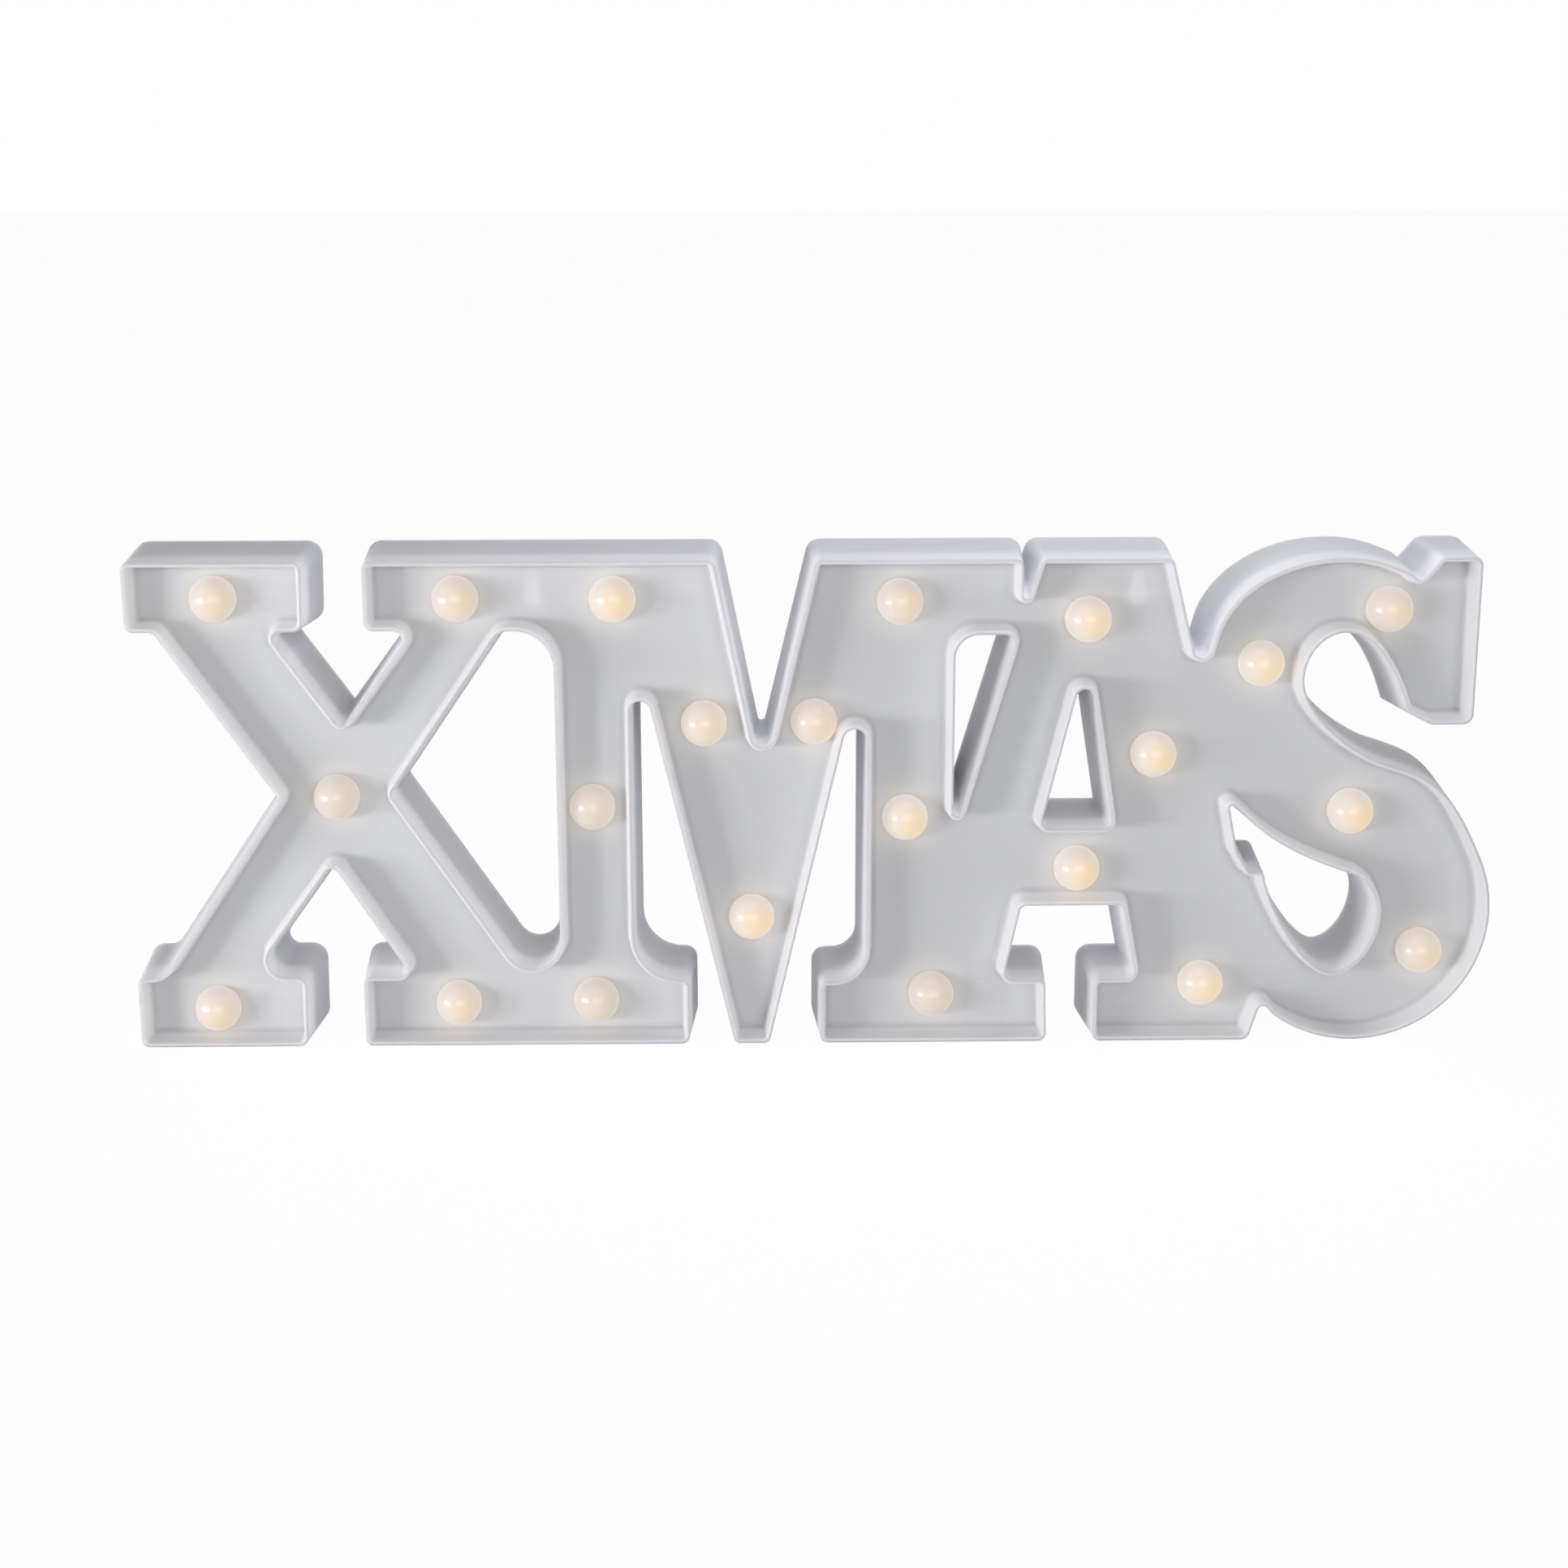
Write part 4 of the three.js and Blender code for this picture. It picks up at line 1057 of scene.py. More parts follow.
@dataclass(frozen=True)
class LetterShell:
    """The main moulding: drafted outer wall, thin rim, recess, panel and screw posts."""

    word: Word
    lamps: Sequence[Point]
    posts: Sequence[Point]
    depth: float = 44.0
    draft: float = 3.0
    wall: float = 2.0
    rim: float = 1.7
    recess: float = 14.5
    recess_draft: float = 1.5
    panel: float = 2.0
    lamp_hole_r: float = 5.0
    post_r: float = 3.5
    pilot_r: float = 1.6
    post_end: float = 19.7
    pilot_end: float = 11.9
    front_edge: float = 0.7
    inner_edge: float = 0.8
    back_edge: float = 0.3
    cavity_r: float = 0.8
    cavity_ledge: float = 1.2
    floor_fillet: float = 1.8
    floor_flat: float = 0.05
    post_edge: float = 0.3
    edge_steps: int = 3
    hole_sides: int = 24

    def out_at(self, y: float) -> float:
        """Gives how far the drafted outer wall stands out at a depth."""
        return self.draft * (y + self.depth / 2) / self.depth

    def outside(self) -> list[Point]:
        """The profile outside: cavity wall, back edge, outer wall and front edge.

        Returns:
            How far each point stands out, and its depth.
        """
        front, back = -self.depth / 2, self.depth / 2
        panel_back = front + self.recess + self.panel
        inner = self.out_at(panel_back) - self.wall
        return rounded_line([
            (inner - self.cavity_ledge, panel_back, 0),
            (inner, panel_back, self.cavity_r),
            (self.out_at(back) - self.wall, back, self.back_edge),
            (self.out_at(back), back, self.back_edge),
            (0, front, self.front_edge),
            (-self.rim / 2, front, 0),
        ], self.edge_steps)

    def inside(self) -> list[Point]:
        """The profile inside: from the rim down the recess wall to the panel.

        Returns:
            How far each point stands out, and its depth.
        """
        front = -self.depth / 2
        floor_y = front + self.recess
        foot = -self.rim - self.recess_draft
        return rounded_line([
            (-self.rim / 2, front, 0),
            (-self.rim, front, self.inner_edge),
            (foot, floor_y, self.floor_fillet),
            (foot - self.floor_fillet - self.floor_flat, floor_y, 0),
        ], self.edge_steps)

    def build(self) -> bpy.types.Object:
        """Makes the moulding's mesh.

        Returns:
            The object.
        """
        skin = Skin()
        levels = [self.level(skin, out, y) for out, y in self.outside()]
        skin.sleeve(levels)
        skin.slot = 1
        recess = [levels[-1]] + [self.level(skin, out, y) for out, y in self.inside()[1:]]
        skin.sleeve(recess)
        floor_y = self.recess - self.depth / 2
        panel_back = floor_y + self.panel
        front_holes, back_holes = [], []
        for x, z in self.lamps:
            hole = circle(x, z, self.lamp_hole_r, self.hole_sides)
            front_holes.append(skin.ring(hole, floor_y))
            back_holes.append(skin.ring(hole, panel_back))
            skin.strip(front_holes[-1], back_holes[-1])
        skin.cap([*recess[-1], *front_holes])
        skin.slot = 0
        post_rings = [self.post(skin, x, z, panel_back) for x, z in self.posts]
        skin.cap([*levels[0], *back_holes, *post_rings])
        return skin.finish("letter_moulding", sharp_deg=50)

    def level(self, skin: Skin, out: float, y: float) -> list[Ring]:
        """Adds the word's rings at one depth.

        Args:
            skin: the skin that they join.
            out: how far the sides stand out.
            y: the depth.

        Returns:
            The rings.
        """
        behind = y > self.recess - self.depth / 2
        cavity = behind and out < self.out_at(y) - self.wall / 2
        lowest = self.wall if cavity else 0.0
        return [skin.ring(ring, y, lowest) for ring in self.word.rings(out)]

    def post(self, skin: Skin, x: float, z: float, foot: float) -> Ring:
        """Adds one screw post with its pilot hole.

        Args:
            skin: the skin that it joins.
            x: the post's place along the word.
            z: its height.
            foot: the depth of the panel's back.

        Returns:
            The ring where the post meets the panel.
        """
        profile = [(self.post_r, foot), (self.post_r, self.post_end - self.post_edge),
                   (self.post_r - self.post_edge, self.post_end),
                   (self.pilot_r, self.post_end), (self.pilot_r, self.pilot_end)]
        rings = skin.turned(profile, x, z, self.hole_sides)
        skin.stack(rings)
        skin.cap([rings[-1]])
        return rings[0]

    def dress(self, made: bpy.types.Object) -> None:
        """Gives the outside and the recess their finishes, and puts the piece in place.

        Args:
            made: the moulding.
        """
        made.data.materials.append(MouldedAbs().material())
        made.data.materials.append(replace(RECESS_ABS, lamps=tuple(self.lamps)).material())
        put_in_place(made, "sign", "letter_shell")


@dataclass(frozen=True)
class LampCap:
    """A frosted globe on the panel, with its stem, barb and lamp bore behind."""

    diameter: float = 20.5
    centre_y: float = -10.0
    seat_y: float = -7.8
    stem_r: float = 4.7
    barb_r: float = 5.5
    panel_back: float = -5.5
    stem_out: float = 4.6
    bore_r: float = 2.8
    bore_depth: float = 8.9
    edge: float = 0.3
    barb_lean: float = 0.1
    barb_height: float = 0.4
    sides: int = 48
    rings: int = 22
    warm_caps: tuple[int, ...] = (5, 10, 11, 15, 16, 17, 18, 19, 21)
    pale_caps: tuple[int, ...] = (2, 9, 13, 14)

    def profile(self) -> list[Point]:
        """The cap's profile from the globe's front to the end of the bore.

        Returns:
            The radius and the depth of each point.
        """
        radius = self.diameter / 2
        seat = self.seat_y - self.centre_y
        last = math.pi / 2 + math.asin(seat / radius)
        points = []
        for k in range(self.rings + 1):
            angle = last * k / self.rings
            points.append((radius * math.sin(angle), -radius * math.cos(angle)))
        points[0] = (0.0, -radius)
        stem_end = self.panel_back + self.stem_out - self.centre_y
        barb = self.panel_back + self.edge - self.centre_y
        bore_end = stem_end - self.bore_depth
        return points + [
            (self.stem_r, seat), (self.stem_r, barb), (self.barb_r, barb),
            (self.barb_r - self.barb_lean, barb + self.barb_height),
            (self.stem_r, stem_end - self.edge), (self.stem_r - self.edge, stem_end),
            (self.bore_r, stem_end), (self.bore_r, bore_end), (0.0, bore_end)]

    def tone_of(self, node: str) -> CapTone:
        """Gives the tone of one cap.

        Args:
            node: the node that the cap stands for, which ends in its number.

        Returns:
            The tone.
        """
        number = int(node[-2:])
        if number in self.warm_caps:
            return CapTone.WARM
        return CapTone.PALE if number in self.pale_caps else CapTone.MIDDLE

    def build(self, nodes: Sequence[str]) -> list[bpy.types.Object]:
        """Makes one cap for each node, all from one shape in three tones.

        Args:
            nodes: the nodes that the caps stand for.

        Returns:
            The caps, each at its own centre.
        """
        skin = Skin()
        skin.stack(skin.turned(self.profile(), 0, 0, self.sides))
        caps = spread(skin.finish("frosted_cap", sharp_deg=35), len(nodes))
        meshes = {tone: caps[0].data.copy() for tone in CapTone}
        for tone, mesh in meshes.items():
            mesh.materials.append(FrostedCap(tone).material())
        for node, cap in zip(nodes, caps):
            x, z = centre_of(node)
            cap.name = node.replace("lamp_cap", "frosted_globe")
            cap.data = meshes[self.tone_of(node)]
            cap.location = (x * MM, self.centre_y * MM, z * MM)
            put_in_place(cap, "sign", node)
        return caps


@dataclass(frozen=True)
class BackCover:
    """The flush back plate: battery tub, doorway, switch well, keyholes, screw holes."""

    word: Word
    screws: Sequence[Point]
    front: float = 20.0
    back: float = 22.0
    out: float = 0.7
    lowest: float = 2.3
    edge: float = 0.3
    bay: Box = (43.03, 34.547, 72.83, 91.447)
    doorway: Box = (43.08, 36.947, 72.78, 90.247)
    doorway_lip: float = 0.15
    bay_floor: float = 5.1
    tub_wall: float = 1.5
    tub_edge: float = 0.4
    well: Box = (37.366, 131.5, 47.366, 148.5)
    well_depth: float = 1.6
    well_floor: float = 1.2
    well_r: float = 1.2
    well_lip: float = 0.25
    well_back_r: float = 1.6
    slot: Box = (40.766, 135.7, 43.966, 144.3)
    slot_corner_r: float = 0.5
    keyholes: tuple[Point, ...] = ((-123.07, 202.86), (142.53, 202.86))
    head_r: float = 4.5
    slot_r: float = 2.2
    rise: float = 8.0
    lip: float = 0.2
    pad: float = 1.4
    pad_box: Box = (-8.5, -6.5, 8.5, 12.2)
    pad_r: float = 2.0
    screw_r: float = 1.6
    countersink_r: float = 3.1
    countersink_from: float = 20.2
    sides: int = 32
    marks: tuple[Point, ...] = ((42.366, 151.8), (42.366, 128.0))
    mark_line: float = 0.7
    mark_size: float = 3.4
    mark_depth: float = 0.4
    bar_round: float = 0.8

    def build(self) -> bpy.types.Object:
        """Makes the cover's mesh.

        Returns:
            The object.
        """
        skin = Skin()
        eased = self.back - self.edge
        rims = [[skin.ring(ring, y, self.lowest) for ring in self.word.rings(out)]
                for out, y in ((self.out, self.front), (self.out, eased),
                               (self.out - self.edge, self.back))]
        skin.sleeve(rims)
        inner, outer = list(rims[0]), list(rims[-1])
        hole = [(self.screw_r, self.front), (self.screw_r, self.countersink_from),
                (self.countersink_r, eased), (self.countersink_r, self.back)]
        for x, z in self.screws:
            rings = skin.turned(hole, x, z, self.sides)
            skin.stack(rings)
            inner.append(rings[0])
            outer.append(rings[-1])
        hangs = [self.hang(skin, x, z) for x, z in self.keyholes]
        for inner_ring, outer_ring in (*hangs, self.build_bay(skin), self.build_well(skin)):
            inner.append(inner_ring)
            outer.append(outer_ring)
        outer += self.engrave(skin)
        skin.cap(inner)
        skin.cap(outer)
        return skin.finish("back_plate", sharp_deg=35)

    def box_ring(self, skin: Skin, box: Box, y: float, grow: float = 0.0,
                 radius: float = 0.8) -> Ring:
        """Adds the ring of a rounded box.

        Args:
            skin: the skin that it joins.
            box: its least and greatest places across and up.
            y: its depth.
            grow: how far its sides are moved out.
            radius: its corner radius.

        Returns:
            The ring.
        """
        x0, z0, x1, z1 = box
        points = rounded_box(x0 - grow, z0 - grow, x1 + grow, z1 + grow, radius)
        return skin.ring(points, y)

    def hang(self, skin: Skin, x: float, z: float) -> tuple[Ring, Ring]:
        """Adds a keyhole and the pad that thickens the plate round it.

        Args:
            skin: the skin that it joins.
            x: the head hole's middle across.
            z: its middle up.

        Returns:
            The ring where the pad meets the plate, and the hole's ring at the back.
        """
        x0, z0, x1, z1 = self.pad_box
        pad_box, top_y = (x + x0, z + z0, x + x1, z + z1), self.front - self.pad
        foot = self.box_ring(skin, pad_box, self.front, 0.0, self.pad_r)
        top = self.box_ring(skin, pad_box, top_y, -self.lip, self.pad_r)
        holes = []
        for more, y in ((0, top_y), (0, self.back - self.lip), (self.lip, self.back)):
            outline = keyhole(x, z, self.head_r + more, self.slot_r + more, self.rise)
            holes.append(skin.ring(outline, y))
        skin.strip(foot, top)
        skin.cap([top, holes[0]])
        skin.stack(holes)
        return foot, holes[-1]

    def build_bay(self, skin: Skin) -> tuple[Ring, Ring]:
        """Adds the battery tub and the doorway into it.

        Args:
            skin: the skin that it joins.

        Returns:
            The tub's ring at the plate, and the doorway's ring at the back.
        """
        door = [self.box_ring(skin, self.doorway, y, grow) for y, grow in (
            (self.back, self.doorway_lip), (self.back - self.lip, 0), (self.front, 0))]
        skin.stack(door)
        ledge = self.box_ring(skin, self.bay, self.front)
        skin.cap([ledge, door[-1]])
        bay_floor = self.box_ring(skin, self.bay, self.bay_floor)
        skin.strip(ledge, bay_floor)
        skin.cap([bay_floor])
        end = self.bay_floor - self.tub_wall
        tub = [self.box_ring(skin, self.bay, y, self.tub_wall - inset, self.tub_wall)
               for y, inset in ((self.front, 0), (end + self.tub_edge, 0),
                                (end, self.tub_edge))]
        skin.stack(tub)
        skin.cap([tub[-1]])
        return tub[0], door[0]

    def build_well(self, skin: Skin) -> tuple[Ring, Ring]:
        """Adds the switch well with its slot.

        Args:
            skin: the skin that it joins.

        Returns:
            The ring of the well's back at the plate, and the well's ring at the back.
        """
        floor_y = self.back - self.well_depth
        back_y = floor_y - self.well_floor
        well = [self.box_ring(skin, self.well, y, grow, self.well_r) for y, grow in (
            (self.back, self.lip), (self.back - self.well_lip, 0), (floor_y, 0))]
        slot = [self.box_ring(skin, self.slot, y, 0, self.slot_corner_r)
                for y in (floor_y, back_y)]
        behind = [self.box_ring(skin, self.well, y, self.well_floor, self.well_back_r)
                  for y in (self.front, back_y)]
        skin.stack(well)
        skin.stack(slot)
        skin.stack(behind)
        skin.cap([well[-1], slot[0]])
        skin.cap([behind[-1], slot[-1]])
        return behind[0], well[0]

    def engrave(self, skin: Skin) -> list[Ring]:
        """Adds the plain bar and ring of a switch, sunk into the plate.

        Args:
            skin: the skin that they join.

        Returns:
            Their rings at the back.
        """
        (bar_x, bar_z), (ring_x, ring_z) = self.marks
        half, long = self.mark_line / 2, self.mark_size / 2
        low = self.back - self.mark_depth
        bar_box = (bar_x - half, bar_z - long, bar_x + half, bar_z + long)
        bar = [self.box_ring(skin, bar_box, y, 0, self.bar_round * half)
               for y in (self.back, low)]
        outer = skin.turned([(long, self.back), (long, low)], ring_x, ring_z, self.sides)
        core = long - self.mark_line
        inner = skin.turned([(core, low), (core, self.back)], ring_x, ring_z, self.sides)
        # The sunk marks' walls and floors take the second slot, with its painted shade
        skin.slot = 1
        for rings in (bar, outer, inner):
            skin.stack(rings)
        skin.cap([bar[-1]])
        skin.cap([outer[-1], inner[0]])
        skin.slot = 0
        skin.cap([inner[-1]])
        return [bar[0], outer[0]]

    def dress(self, made: bpy.types.Object) -> None:
        """Gives the cover its finish and its sunk marks their painted shade, and puts it in
        place.

        Args:
            made: the cover.
        """
        made.data.materials.append(COVER_ABS.material())
        made.data.materials.append(MARK_SHADE.material())
        put_in_place(made, "sign", "back_cover")


@dataclass(frozen=True)
class BatteryDoor:
    """The flush lid with a hook tab below and a ribbed finger dip above."""

    lid: Box = (43.33, 37.247, 72.53, 89.947)
    inner: float = 20.2
    back: float = 22.0
    corner_r: float = 0.8
    edge: float = 0.25
    dip_width: float = 12.0
    dip_height: float = 5.0
    dip_depth: float = 0.9
    dip_corner_r: float = 1.6
    tab_half: float = 2.5
    tab_low: float = 35.147
    tab_rise: float = 1.2
    tab_levels: Point = (18.5, 19.7)
    tab_corner_r: float = 0.5
    root_levels: Point = (18.6, 20.6)
    root_gap: float = 0.02
    root_corner_r: float = 0.3
    ribs: int = 3
    rib_r: float = 0.3
    rib_half: float = 4.3
    rib_tip: float = 0.3
    rib_tip_r: float = 0.05
    rib_from: float = 1.2
    rib_pitch: float = 1.3
    rib_sides: int = 12
    rounding: Rounding = Rounding()

    def outline(self) -> list[Corner]:
        """The lid's outline with the dip cut into its upper side.

        Returns:
            Its corners, anticlockwise.
        """
        x0, z0, x1, z1 = self.lid
        left, right = self.mouth()
        low = z1 - self.dip_height
        return [Corner(x0, z0, self.corner_r), Corner(x1, z0, self.corner_r),
                Corner(x1, z1, self.corner_r), Corner(right, z1),
                Corner(right, low, self.dip_corner_r), Corner(left, low, self.dip_corner_r),
                Corner(left, z1), Corner(x0, z1, self.corner_r)]

    def mouth(self) -> Point:
        """Gives the places of the dip's two ends along the lid's upper side."""
        middle = (self.lid[0] + self.lid[2]) / 2
        return middle - self.dip_width / 2, middle + self.dip_width / 2

    def build(self) -> bpy.types.Object:
        """Makes the door's mesh.

        Returns:
            The object.
        """
        skin = Skin()
        loop = self.outline()
        dip_y = self.back - self.dip_depth
        notched = [skin.ring(self.rounding.ring(loop, out), y) for out, y in (
            (0, dip_y), (0, self.back - self.edge), (-self.edge, self.back))]
        x0, z0, x1, z1 = self.lid
        left, right = self.mouth()
        first, last = [k for k, (x, z) in enumerate(self.rounding.ring(loop, 0))
                       if z > z1 - NEAR and left - NEAR < x < right + NEAR]
        bound = notched[0][:first + 1] + notched[0][last:]
        under = [skin.vertex(tuple(skin.flat(vert)), self.inner) for vert in bound]
        skin.strip(under, bound)
        skin.cap([under])
        skin.stack(notched)
        skin.cap([notched[-1]])
        skin.cap([notched[0][first:last + 1]])
        middle = (x0 + x1) / 2
        for low, corner_r, levels in ((self.tab_low, self.tab_corner_r, self.tab_levels),
                                      (z0 + self.root_gap, self.root_corner_r,
                                       self.root_levels)):
            box = (middle - self.tab_half, low, middle + self.tab_half, z0 + self.tab_rise)
            skin.slab(box, corner_r, *levels)
        skin.along = Along.ACROSS
        tip = self.rib_half + self.rib_tip
        profile = [(self.rib_tip_r, middle - tip), (self.rib_r, middle - self.rib_half),
                   (self.rib_r, middle + self.rib_half), (self.rib_tip_r, middle + tip)]
        for k in range(self.ribs):
            spot = z1 - self.rib_from - self.rib_pitch * k
            skin.closed(skin.turned(profile, dip_y, spot, self.rib_sides))
        return skin.finish("battery_lid", sharp_deg=35)

    def dress(self, made: bpy.types.Object) -> None:
        """Gives the door its finish and puts it in place."""
        made.data.materials.append(DOOR_ABS.material())
        put_in_place(made, "door", "battery_door")


@dataclass(frozen=True)
class BatteryBay:
    """What lies in the tub: two cells head to tail, their springs and contact plates."""

    cell_r: float = 7.1
    cell_y: float = 12.5
    cell_length: float = 49.5
    nub_r: float = 2.75
    nub: float = 1.0
    nub_foot: float = 0.3
    nub_edge: float = 0.35
    dish: float = 0.15
    dish_from: float = 2.1
    dish_to: float = 1.9
    dish_edge: float = 0.1
    film: float = 0.12
    film_lap: float = 1.0
    film_crimp: float = 1.2
    film_top: float = 0.1
    film_edge: float = 0.5
    can_top: float = 0.3
    cell_sides: int = 48
    spring_r: float = 3.5
    spring_length: float = 4.5
    spring_taper: float = 0.5
    wire: float = 0.8
    wire_sides: int = 10
    turns: int = 4
    turn_steps: int = 32
    plate_corner_r: float = 1.2
    plate_edge: float = 0.08

    def build_cell(self) -> bpy.types.Object:
        """Makes one cell, standing on its flat end at the origin.

        Returns:
            The object.
        """
        skin = Skin(Along.UP)
        r, top = self.cell_r, self.cell_length
        lap, crimp, can_top = r - self.film_lap, r - self.film_crimp, top - self.can_top
        ends = rounded_line([
            (0, self.dish, 0), (r - self.dish_to, self.dish, self.dish_edge),
            (r - self.dish_from, 0, self.dish_edge), (lap, 0, 0)], steps=2)
        sleeve = rounded_line([
            (lap, 0, 0), (lap, self.film, 0), (r, self.film, self.film_edge),
            (r, top - self.film_top, self.film_edge), (crimp, top - self.film_top, 0),
            (crimp, can_top, 0)], steps=4)
        head = rounded_line([
            (crimp, can_top, 0), (self.nub_r + self.nub_foot, can_top, self.nub_foot),
            (self.nub_r, top + self.nub, self.nub_edge), (0, top + self.nub, 0)], steps=3)
        rings = skin.turned([*ends[:-1], *sleeve, *head[1:]], 0, 0, self.cell_sides)
        first, last = len(ends) - 1, len(ends) - 1 + len(sleeve)
        skin.stack(rings[:first + 1])
        skin.stack(rings[last - 1:])
        skin.slot = 1
        skin.stack(rings[first:last])
        return skin.finish("cell", sharp_deg=30)

    def build_spring(self) -> bpy.types.Object:
        """Makes one conical spring, standing on its wide seat at the origin.

        Returns:
            The object.
        """
        skin = Skin(Along.UP)
        steps = self.turn_steps * self.turns
        rings = []
        for k in range(steps + 1):
            share = k / steps
            around = Vector((math.cos(2 * math.pi * self.turns * share),
                             math.sin(2 * math.pi * self.turns * share), 0))
            radius = (self.spring_r - self.wire / 2) * (1 - share * self.spring_taper)
            height = self.wire / 2 + (self.spring_length - self.wire) * share
            middle = around * radius + Vector((0, 0, height))
            rings.append([skin.mesh.verts.new(
                MM * (middle + around * a + Vector((0, 0, b))))
                for a, b in circle(0, 0, self.wire / 2, self.wire_sides)])
        skin.stack(rings)
        skin.mesh.faces.new(rings[0])
        skin.mesh.faces.new(rings[-1])
        return skin.finish("spring", sharp_deg=50)

    def build_plate(self, node: str) -> bpy.types.Object:
        """Makes one contact plate in its place, with eased edges.

        Args:
            node: the node that it stands for.

        Returns:
            The object.
        """
        low, high = (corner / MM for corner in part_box(node))
        skin = Skin(Along.UP)
        skin.slab((low.x, low.y, high.x, high.y), self.plate_corner_r, low.z, high.z,
                  self.plate_edge)
        return skin.finish(node.replace("contact", "contact_plate"), sharp_deg=35)

    def build(self) -> int:
        """Makes everything in the tub.

        Returns:
            How many pieces were made.
        """
        steel, film = PLATED_STEEL.material(), SHRINK_FILM.material()
        made = []
        for number in ("01", "02"):
            cell, spring = self.build_cell(), self.build_spring()
            for piece, node, slot in ((cell, f"battery_{number}", "cell_jacket"),
                                      (spring, f"contact_spring_{number}", "spring_steel")):
                low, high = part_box(node)
                turned = number == "02"
                piece.name = f"fine_{node}"
                piece.data.materials.append(steel)
                piece.location = ((low.x + high.x) / 2, self.cell_y * MM,
                                  high.z if turned else low.z)
                piece.rotation_euler.y = math.pi if turned else 0.0
                put_in_place(piece, "sign", node)
                made.append(piece)
            cell.data.materials.append(film)
        for node in ("contact_negative", "contact_positive", "contact_bridge"):
            plate = self.build_plate(node)
            plate.data.materials.append(steel)
            put_in_place(plate, "sign", node)
            made.append(plate)
        return len(made)


@dataclass(frozen=True)
class CoverScrew:
    """A countersunk screw with a cross recess, its head just under the cover's face."""

    head_y: float = 21.7
    head_r: float = 2.8
    head_height: float = 1.5
    shank_r: float = 1.3
    length: float = 9.0
    head_edge: float = 0.12
    under_lean: float = 0.15
    under_edge: float = 0.2
    tip: float = 1.2
    tip_lean: float = 0.5
    neck_lean: float = 0.2
    threads: int = 6
    thread_from: float = 1.5
    thread_depth: float = 0.35
    thread_rise: float = 0.4
    thread_pitch: float = 1.0
    sides: int = 36
    arm: float = 0.45
    reach: float = 1.6
    recess: float = 0.9
    recess_arm_share: float = 0.5
    recess_reach_share: float = 0.55
    turn_step: float = 0.7

    def cross(self, arm: float, reach: float) -> list[Point]:
        """The outline of the cross recess.

        Args:
            arm: half the width of an arm.
            reach: how far each arm reaches from the middle.

        Returns:
            Its points, anticlockwise.
        """
        quarter = [(reach, -arm), (reach, arm), (arm, arm)]
        points = []
        for _ in range(4):
            points += quarter
            quarter = [(-z, x) for x, z in quarter]
        return points

    def build(self, nodes: Sequence[str]) -> list[bpy.types.Object]:
        """Makes one screw for each node, all from one mesh.

        Args:
            nodes: the nodes that the screws stand for.

        Returns:
            The screws.
        """
        skin = Skin()
        foot = self.head_y - self.length
        neck = self.head_y - self.head_height
        profile = [(0.0, foot), (self.shank_r - self.tip_lean, foot + self.tip)]
        for k in range(self.threads):
            root = foot + self.thread_from + self.thread_pitch * k
            profile += [(self.shank_r - self.thread_depth, root),
                        (self.shank_r, root + self.thread_rise)]
        profile += [(self.shank_r - self.neck_lean, neck),
                    (self.head_r - self.under_lean, self.head_y - self.under_edge),
                    (self.head_r, self.head_y - self.head_edge),
                    (self.head_r - self.head_edge, self.head_y)]
        rings = skin.turned(profile, 0, 0, self.sides)
        skin.stack(rings)
        mouth = skin.ring(self.cross(self.arm, self.reach), self.head_y)
        bottom = skin.ring(self.cross(self.arm * self.recess_arm_share,
                                      self.reach * self.recess_reach_share),
                           self.head_y - self.recess)
        skin.cap([rings[-1], mouth])
        skin.strip(mouth, bottom)
        skin.cap([bottom])
        first = skin.finish("screw", sharp_deg=35)
        first.data.materials.append(PLATED_SCREW.material())
        screws = spread(first, len(nodes))
        for turn, (node, screw) in enumerate(zip(nodes, screws)):
            x, z = centre_of(node)
            screw.name = f"fine_{node}"
            screw.location = (x * MM, 0, z * MM)
            screw.rotation_euler.y = self.turn_step * turn
            put_in_place(screw, "sign", node)
        return screws


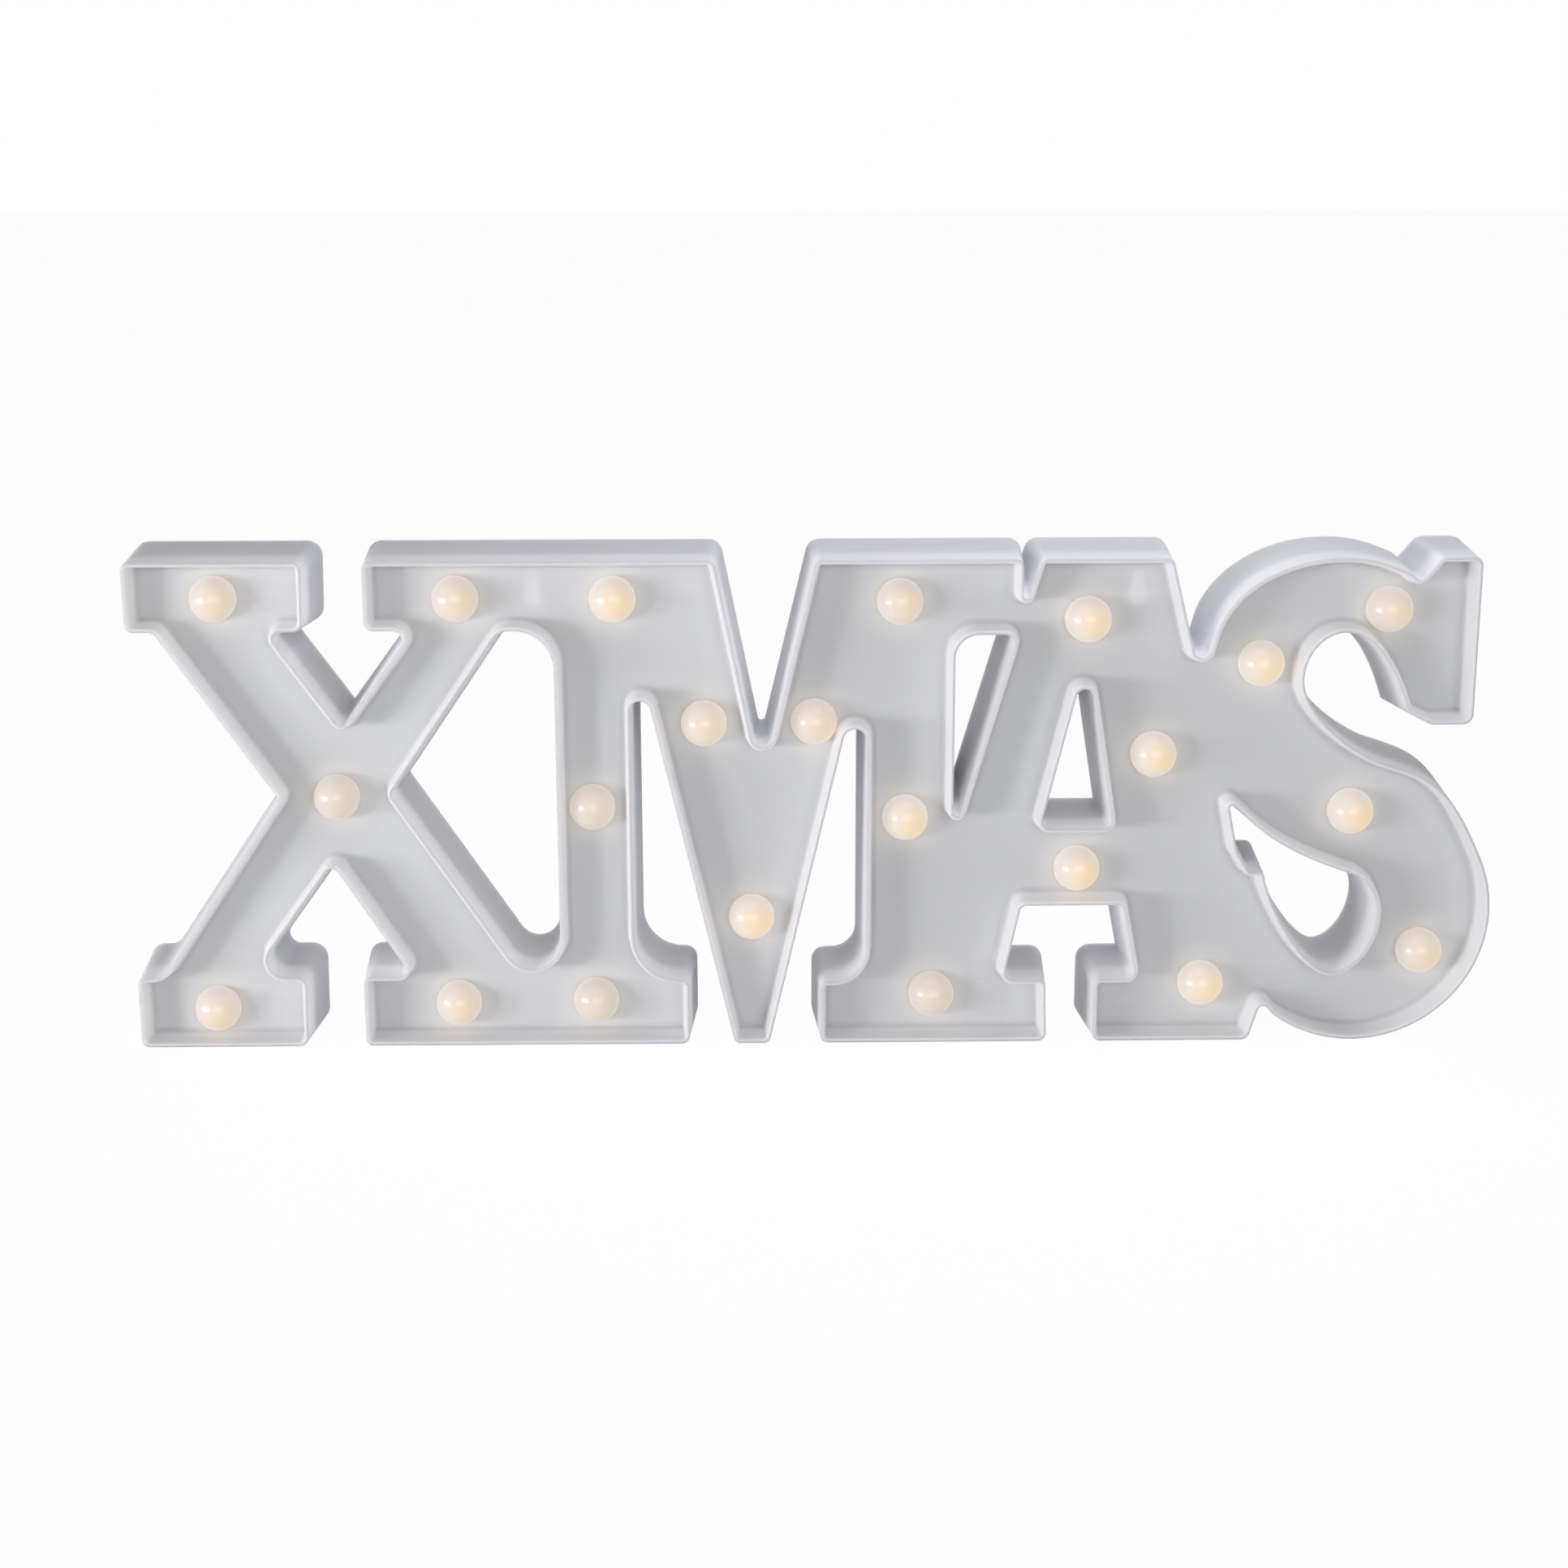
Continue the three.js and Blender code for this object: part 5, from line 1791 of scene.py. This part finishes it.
@dataclass(frozen=True)
class SwitchSlider:
    """The slide switch's ribbed knob on its foot."""

    plate: float = 1.4
    plate_corner_r: float = 0.3
    plate_edge: float = 0.12
    knob_margin: float = 1.4
    knob_half: float = 1.3
    knob_sunk: float = 0.7
    knob_edge: float = 0.15
    grooves: int = 4
    groove: float = 0.35
    groove_lean: float = 0.1
    groove_from: float = 0.55
    groove_floor: float = 0.4
    groove_width: float = 0.5

    def build(self) -> bpy.types.Object:
        """Makes the slider's mesh.

        Returns:
            The object.
        """
        low, high = (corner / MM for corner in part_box("switch_slider"))
        skin = Skin()
        skin.slab((low.x, low.z, high.x, high.z), self.plate_corner_r, low.y,
                  low.y + self.plate, self.plate_edge)
        z0, z1, top = low.z + self.knob_margin, high.z - self.knob_margin, high.y
        foot, edge, floor = low.y + self.knob_sunk, self.knob_edge, top - self.groove
        pitch = (z1 - z0) / (self.grooves + self.groove_width)
        side = [(foot, z0), (top - edge, z0), (top, z0 + edge)]
        for k in range(self.grooves):
            at = z0 + pitch * (k + self.groove_from)
            side += [(top, at), (floor, at + self.groove_lean),
                     (floor, at + pitch * self.groove_floor),
                     (top, at + pitch * self.groove_width)]
        side += [(top, z1 - edge), (top - edge, z1), (foot, z1)]
        skin.along = Along.ACROSS
        middle = (low.x + high.x) / 2
        skin.closed([skin.ring(side[::-1], middle + half)
                     for half in (-self.knob_half, self.knob_half)])
        return skin.finish("slider_knob", sharp_deg=30)

    def dress(self, made: bpy.types.Object) -> None:
        """Gives the slider its finish and puts it in place."""
        # The knob takes the lighter copy of the black, painted light
        made.data.materials.append(LIT_KNOB_NYLON.material())
        put_in_place(made, "slider", "switch_slider")


# The studio -------------------------------------------------------------------------


@dataclass(frozen=True)
class PhotoCamera:
    """The camera that saw the sign: its place in millimetres, its turn and its lens."""

    place: tuple[float, float, float] = (-29.95, -1114.2, 401.0)
    yaw_deg: float = 0.87
    pitch_deg: float = 14.37
    roll_deg: float = 0.11
    focal: float = 58.70
    sensor: float = 36.0

    def build(self) -> None:
        """Makes the camera and gives it to the scene."""
        yaw, pitch, roll = (math.radians(a) for a in
                            (self.yaw_deg, self.pitch_deg, self.roll_deg))
        ahead = Vector((math.sin(yaw) * math.cos(pitch), math.cos(yaw) * math.cos(pitch),
                        -math.sin(pitch)))
        right = Vector((math.cos(yaw), -math.sin(yaw), 0))
        down = ahead.cross(right)
        rolled = right * math.cos(roll) + down * math.sin(roll)
        up = right * math.sin(roll) - down * math.cos(roll)
        data = bpy.data.cameras.new("photo_camera")
        data.lens = self.focal
        data.sensor_width = self.sensor
        made = bpy.data.objects.new("photo_camera", data)
        bpy.context.scene.collection.objects.link(made)
        turn = Matrix((rolled, up, -ahead)).transposed().to_4x4()
        made.matrix_world = Matrix.Translation([MM * v for v in self.place]) @ turn
        bpy.context.scene.camera = made


@dataclass(frozen=True)
class SoftBox:
    """One soft lamp of the studio, in metres and watts."""

    name: str
    place: tuple[float, float, float]
    faces: tuple[float, float, float]
    size: float
    power: float
    colour: str = WHITE
    height: float | None = None

    def build(self) -> None:
        """Makes the lamp."""
        data = bpy.data.lights.new(self.name, "AREA")
        data.shape = "RECTANGLE"
        data.size = self.size
        data.size_y = self.height or self.size
        data.energy = self.power
        data.color = linear(self.colour)[:3]
        made = bpy.data.objects.new(self.name, data)
        made.location = self.place
        aim = Vector(self.faces) - Vector(self.place)
        made.rotation_euler = aim.to_track_quat("-Z", "Y").to_euler()
        bpy.context.scene.collection.objects.link(made)


@dataclass(frozen=True)
class BackLight:
    """Level light from straight behind, which reaches only what faces backward."""

    level: float = 2.1
    spread_deg: float = 5.0

    def build(self) -> None:
        """Makes the lamp."""
        data = bpy.data.lights.new("back_light", "SUN")
        data.energy = self.level
        data.angle = math.radians(self.spread_deg)
        made = bpy.data.objects.new("back_light", data)
        made.rotation_euler.x = -math.pi / 2
        bpy.context.scene.collection.objects.link(made)


@dataclass(frozen=True)
class Studio:
    """The plain pale floor, the soft lamps and the world around the sign, in metres."""

    floor_half: float = 12.0
    floor_drop: float = 0.0002
    world_colour: str = "#F8F8F9"
    world_level: float = 0.27
    boxes: tuple[SoftBox, ...] = (
        SoftBox("key_box", (-1.45, -0.82, 0.12), (-0.1, 0.0, 0.11), 0.9, 14.5,
                "#FBFBFF", 0.3),
        SoftBox("key_lamp", (-1.3, -1.0, 0.2), (-0.1, 0.0, 0.11), 0.08, 1.5),
        SoftBox("front_box", (0.3, -2.6, 0.6), (-0.05, 0.0, 0.1), 2.4, 26.5, height=1.2),
        SoftBox("top_box", (0.14, 0.0, 0.6), (0.14, 0.0, 0.2), 0.3, 0.8, "#EEF1FF"),
    )

    def build(self) -> None:
        """Makes the floor, the lamps and the world."""
        skin = Skin(Along.UP)
        half = self.floor_half / MM
        skin.cap([skin.ring(rounded_box(-half, -half, half, half, half / 4), 0.0)])
        floor = skin.finish("studio_floor")
        floor.location.z = -self.floor_drop
        floor.data.materials.append(StudioBoard().material())
        for box in self.boxes:
            box.build()
        BackLight().build()
        self.light_world()

    def light_world(self) -> None:
        """Lights the sign evenly, and shows white where the world itself is seen."""
        world = bpy.data.worlds.new("studio_world")
        world.use_nodes = True
        tree = world.node_tree
        tree.nodes.clear()
        soft = add_node(tree, "ShaderNodeBackground", {
            "Color": linear(self.world_colour), "Strength": self.world_level})
        white = add_node(tree, "ShaderNodeBackground", {
            "Color": linear(WHITE), "Strength": 1.0})
        mixed = add_node(tree, "ShaderNodeMixShader", {
            0: seen_straight(tree), 1: soft.outputs[0], 2: white.outputs[0]})
        add_node(tree, "ShaderNodeOutputWorld", {"Surface": mixed.outputs[0]})
        bpy.context.scene.world = world


# The whole --------------------------------------------------------------------------


def dress_carried(nodes: dict[str, bpy.types.Object]) -> None:
    """Gives each CAD node that stays its own finish.

    Args:
        nodes: the CAD nodes by name.
    """
    finishes = {"lamp_string": CLEAR_LEAD.material(), "switch_body": BLACK_NYLON.material()}
    for name, made in nodes.items():
        for start, finish in finishes.items():
            if name.startswith(start):
                made.data.materials.clear()
                made.data.materials.append(finish)


def main() -> None:
    """Builds the studio and every piece of the sign, in order, and logs each."""
    logging.basicConfig(level=logging.INFO, format="%(name)s: %(message)s", force=True)
    bpy.context.scene.view_settings.view_transform = "Standard"
    PhotoCamera().build()
    Studio().build()
    LOG.info("studio ready")
    nodes = frame["nodes"]
    cap_nodes = sorted(name for name in nodes if name.startswith("lamp_cap"))
    screw_nodes = sorted(name for name in nodes if name.startswith("cover_screw"))
    word = Word()
    shell = LetterShell(word, [centre_of(n) for n in cap_nodes],
                        [centre_of(n) for n in screw_nodes])
    made = shell.build()
    shell.dress(made)
    LOG.info("%s: %d faces", made.name, len(made.data.polygons))
    LOG.info("frosted globes: %d", len(LampCap().build(cap_nodes)))
    for piece in (BackCover(word, shell.posts), BatteryDoor(), SwitchSlider()):
        made = piece.build()
        piece.dress(made)
        LOG.info("%s: %d faces", made.name, len(made.data.polygons))
    LOG.info("screws: %d", len(CoverScrew().build(screw_nodes)))
    LOG.info("pieces in the battery tub: %d", BatteryBay().build())
    dress_carried(nodes)


if __name__ == "__main__":
    main()
